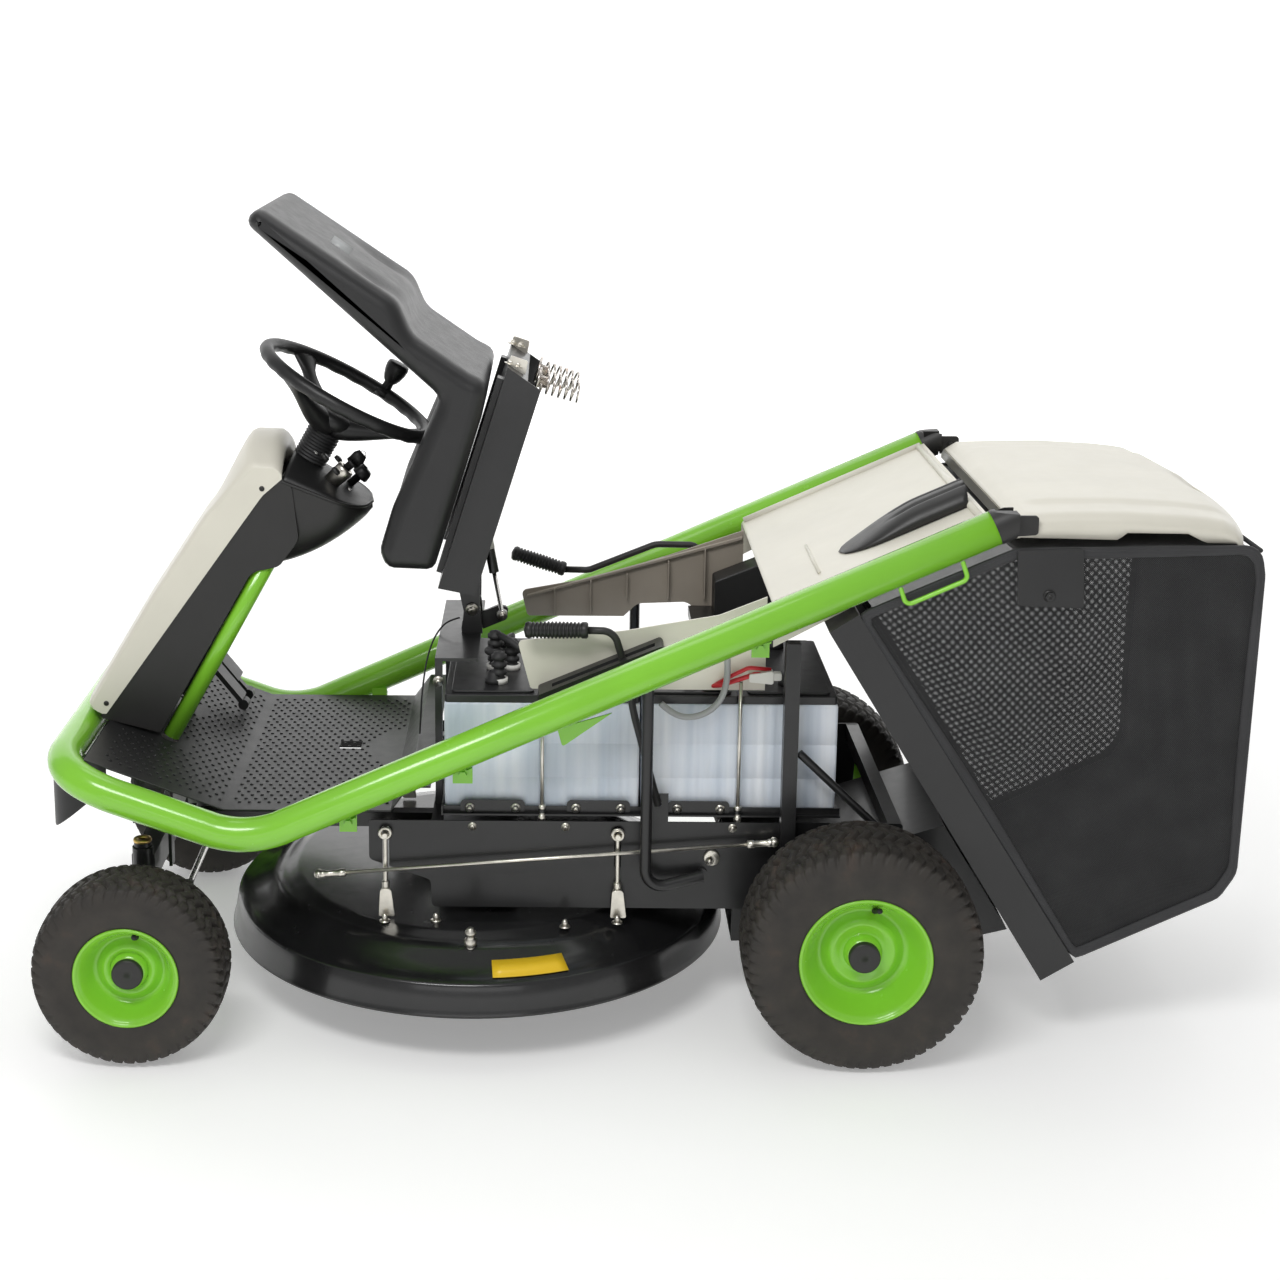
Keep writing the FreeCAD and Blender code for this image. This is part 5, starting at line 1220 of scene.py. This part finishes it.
def levers():
    line = path([(340, 276, 406), (382, 268, 560, 60), (405, 264, 665, 40), (420, 264, 715, 26), (468, 264, 716)], 14)
    piece_from("height_lever_bar", *tube(line, 6.4, 22), CAP_PLASTIC, "height_control", ["height_lever"],
               slot="black_paint")
    piece_from("height_grip", *ribbed_grip(at(464, 264, 716), at(574, 264, 716), 15.0), BLACK_PLASTIC,
               "height_control", slot="soft_rubber")
    line = path([(215, -264, 700), (250, -264, 736, 20), (325, -264, 737, 40), (455, -264, 684, 30),
                 (504, -264, 685)], 14)
    piece_from("tip_lever_bar", *tube(line, 6.4, 22), CAP_PLASTIC, "tip_control", ["tip_lever"], slot="black_paint")
    piece_from("tip_grip", *ribbed_grip(at(501, -264, 685), at(606, -264, 719), 15.0), BLACK_PLASTIC, "tip_control",
               slot="soft_rubber")


def pedals():
    keep("pedal_forward", BLACK_PLASTIC, bevel=1.4)
    keep("pedal_reverse", BLACK_PLASTIC, bevel=1.4)


levers()
pedals()


# ---------------------------------------------------------------- grass box
BOX_OUTLINE = [(16, 770, 10), (-236, 882, 6), (-636, 890, 26), (-645, 842, 40), (-638, 320, 34), (-612, 277, 26),
               (-375, 164, 8)]
LID_SKIRT = [(-240, 902), (-407, 899), (-418, 911), (-520, 910), (-550, 895), (-617, 894)]


def side_netting(side, name):
    """One net side: a flat patch sewn to the piping, pulled tight but for a slight hollow."""
    line = resample(rounded(BOX_OUTLINE, 8), 120)
    centre = sum(line, Vector((0, 0))) / len(line)
    rings = 26
    rows = []
    for ring in range(rings + 1):
        t = 1 - ring / rings
        row = []
        for point in line:
            spot = centre.lerp(point, t)
            inward = ease((1 - t) * 2.2)
            sag = 7.0 * inward + 1.6 * math.sin(spot.x * 0.028 + 0.7) * math.sin(spot.y * 0.021 + 1.2) * inward
            row.append(at(spot.x, side * (347.0 - sag), spot.y))
        rows.append(row)
    points = [p for row in rows for p in row]
    faces = []
    size = len(line)
    for ring in range(rings):
        for index in range(size):
            a = ring * size + index
            b = ring * size + (index + 1) % size
            faces.append((a, b, b + size, a + size) if side > 0 else (b, a, a + size, b + size))
    net = piece_from(name, points, faces, NETTING, "grass_box", slot="bag_mesh")
    weld = net.modifiers.new("weld", "WELD")
    weld.merge_threshold = 0.0001
    return net


def box_cloth():
    """The solid cloth: rear wall, floor and front slope in one strip, bellied a little between its edges."""
    strip = rounded([(-236, 880, 6), (-634, 888, 24), (-643, 842, 40), (-636, 322, 34), (-611, 279, 26),
                     (-375, 166, 8), (-352, 180)], 10, closed=False)
    line = []
    for a, b in zip(strip, strip[1:]):
        count = max(1, int((b - a).length / 9.0))
        line += [a.lerp(b, t / count) for t in range(count)]
    line.append(strip[-1])
    across = 64
    middle_point = Vector((-320, 520))
    rows = []
    for index, point in enumerate(line):
        along = (line[min(index + 1, len(line) - 1)] - line[max(index - 1, 0)]).normalized()
        outward = Vector((along.y, -along.x))
        if outward.dot(point - middle_point) < 0:
            outward = -outward
        row = []
        for step in range(across + 1):
            y = -348.0 + 696.0 * step / across
            edge = ease((348.0 - abs(y)) / 60.0)
            wrinkle = 1.5 * math.sin(y * 0.041 + point.y * 0.019) + 1.1 * math.sin(y * 0.017 - point.y * 0.047 + 2)
            hollow = (3.0 + wrinkle) * edge
            spot = point - outward * hollow
            row.append(at(spot.x, y, spot.y))
        rows.append(row)
    cloth = piece_from("bag_cloth_shell", *surface_grid(rows), CLOTH, "grass_box", slot="bag_mesh")
    thick(cloth, 1.4, 0.0)
    return cloth


def piping():
    """Rolled black edging round both sides and across the corners, with its line of stitches."""
    parts = []
    line = resample(rounded(BOX_OUTLINE, 10), 220)
    centre = sum(line, Vector((0, 0))) / len(line)
    inner = [p - (p - centre).normalized() * 15 for p in line]
    for side in (1, -1):
        parts.append(tube([at(p.x, side * 347.5, p.y) for p in line], 4.2, 10, closed=True))
        flat_rows = []
        for a, b in zip(line + line[:1], inner + inner[:1]):
            flat_rows.append([at(a.x, side * 350.2, a.y), at((a.x + b.x) / 2, side * 350.6, (a.y + b.y) / 2),
                              at(b.x, side * 349.2, b.y), at(b.x, side * 347.2, b.y)])
        parts.append(surface_grid(flat_rows))
    parts.append(tube([at(-639, y, 884) for y in (-345, 0, 345)], 4.0, 10))
    piece_from("bag_piping", *joined(parts), PIPING, "grass_box", slot="bag_mesh")


def box():
    keep("box_frame", BLACK_PAINT, bevel=0.8)
    cloth = box_cloth()
    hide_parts("box_bag")
    left = side_netting(1, "bag_net_left")
    right = side_netting(-1, "bag_net_right")
    piping()
    bolts = [bolt(at(-294, side * 355.4, 807), (0, side, 0), 11, 9) for side in (1, -1)]
    piece_from("box_pivot_bolts", *joined(bolts), CAP_PLASTIC, "grass_box", slot="bright_steel")


def lid_edge(s):
    """How far the lid's top turns down at a place across it, -1 to 1."""
    return 14.0 * max(0.0, (abs(s) - 0.90) / 0.10) ** 2


def lid_back(x, s):
    """The lid's back edge is bowed: it is drawn in towards the sides."""
    return x if x > -560 else -560 + (x + 560) * (1 - 0.46 * s * s)


def lid():
    """Moulded lid: crowned top with two long ridges, a step and a hand recess at the back, a deep skirt."""
    half = 337.0
    top = [(-238, 926), (-262, 941), (-330, 944), (-420, 945), (-520, 940), (-600, 932), (-634, 922), (-656, 906)]
    line = [Vector(p) for p in top]
    dense = []
    for a, b in zip(line, line[1:]):
        count = max(2, int((b - a).length / 8))
        dense += [a.lerp(b, t / count) for t in range(count)]
    dense.append(line[-1])
    across = 72
    rows = []
    for point in dense:
        row = []
        for step in range(across + 1):
            s = -1 + 2 * step / across
            y = half * s
            ridge = 5.0 * ease((0.74 - abs(s)) * 14)
            along = ease((point.x + 640) / 40) * ease((-262 - point.x) / 30)
            handle = 12.0 * ease((0.26 - abs(s)) * 9) * ease((-600 - point.x) / 14)
            row.append(at(lid_back(point.x, s), y,
                          point.y - 6.0 - lid_edge(s) + ridge * along - handle))
        rows.append(row)
    parts = [surface_grid(rows)]
    skirt_line = []
    for point in dense:
        x = min(-240.0, max(-617.0, lid_back(point.x, 1)))
        for (xa, za), (xb, zb) in zip(LID_SKIRT, LID_SKIRT[1:]):
            if xb <= x <= xa:
                skirt_line.append(za + (x - xa) * (zb - za) / (xb - xa))
                break
        else:
            skirt_line.append(LID_SKIRT[-1][1])
    for sign in (1, -1):
        rows = []
        for point, bottom in zip(dense, skirt_line):
            edge = point.y - 6.0 - 14.0
            x = lid_back(point.x, 1)
            rows.append([at(x, sign * half, edge), at(x, sign * (half + 0.8), edge - 4),
                         at(x, sign * (half + 0.8), min(edge - 6, bottom))])
        parts.append(surface_grid(rows))
    for index in (0, -1):
        point = dense[index]
        bottom = 899.0 if index == 0 else 894.0
        row_top, row_low = [], []
        for step in range(across + 1):
            s = -1 + 2 * step / across
            x, edge = lid_back(point.x, s), point.y - lid_edge(s)
            row_top.append(at(x, half * s, edge - 6.0))
            row_low.append(at(x, half * s, min(bottom, edge - 7.0)))
        parts.append(surface_grid([row_top, row_low]))
    shell = piece_from("lid_moulding", *joined(parts), CREAM_PLASTIC, "grass_box", ["box_lid"], slot="cream_plastic")
    weld = shell.modifiers.new("weld", "WELD")
    weld.merge_threshold = 0.0002
    thick(shell, 2.4, 0.0)


box()
lid()


# ---------------------------------------------------------------- cables and small things on the frame
def flexible(name, points, radius, material):
    """A cable or hose laid along its route, true to the design's path."""
    curve = bpy.data.curves.new(name, "CURVE")
    curve.dimensions = "3D"
    curve.bevel_depth = radius * MM
    curve.bevel_resolution = 5
    curve.resolution_u = 12
    curve.use_fill_caps = True
    spline = curve.splines.new("POLY")
    spline.points.add(len(points) - 1)
    for control, point in zip(spline.points, points):
        control.co = tuple(at(*point)) + (1.0,)
    spline.type = "NURBS"
    spline.order_u = 3
    spline.use_endpoint_u = True
    piece = bpy.data.objects.new(name, curve)
    bpy.context.scene.collection.objects.link(piece)
    piece.data.materials.append(material)
    return piece


CABLE_POINTS = [(694, 24, 668), (712, 27, 664), (728, 32, 652), (742, 38, 630), (752, 45, 600), (758, 52, 566),
                (762, 57, 530), (764, 60, 494), (766, 61, 458)]
HOSE_POINTS = [(226, 262, 672), (225, 263, 650), (226, 265, 626), (232, 267, 602), (247, 268, 580), (270, 268, 566),
               (296, 267, 562), (320, 265, 570), (338, 263, 586)]


def cords():
    lead = flexible("seat_switch_lead", CABLE_POINTS, 1.6, RUBBER)
    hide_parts("seat_switch_cable")
    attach(lead, "chassis")
    hose = flexible("breather_hose", HOSE_POINTS, 5.5, HOSE_GREY)
    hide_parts("vent_hose")
    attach(hose, "chassis")


cords()
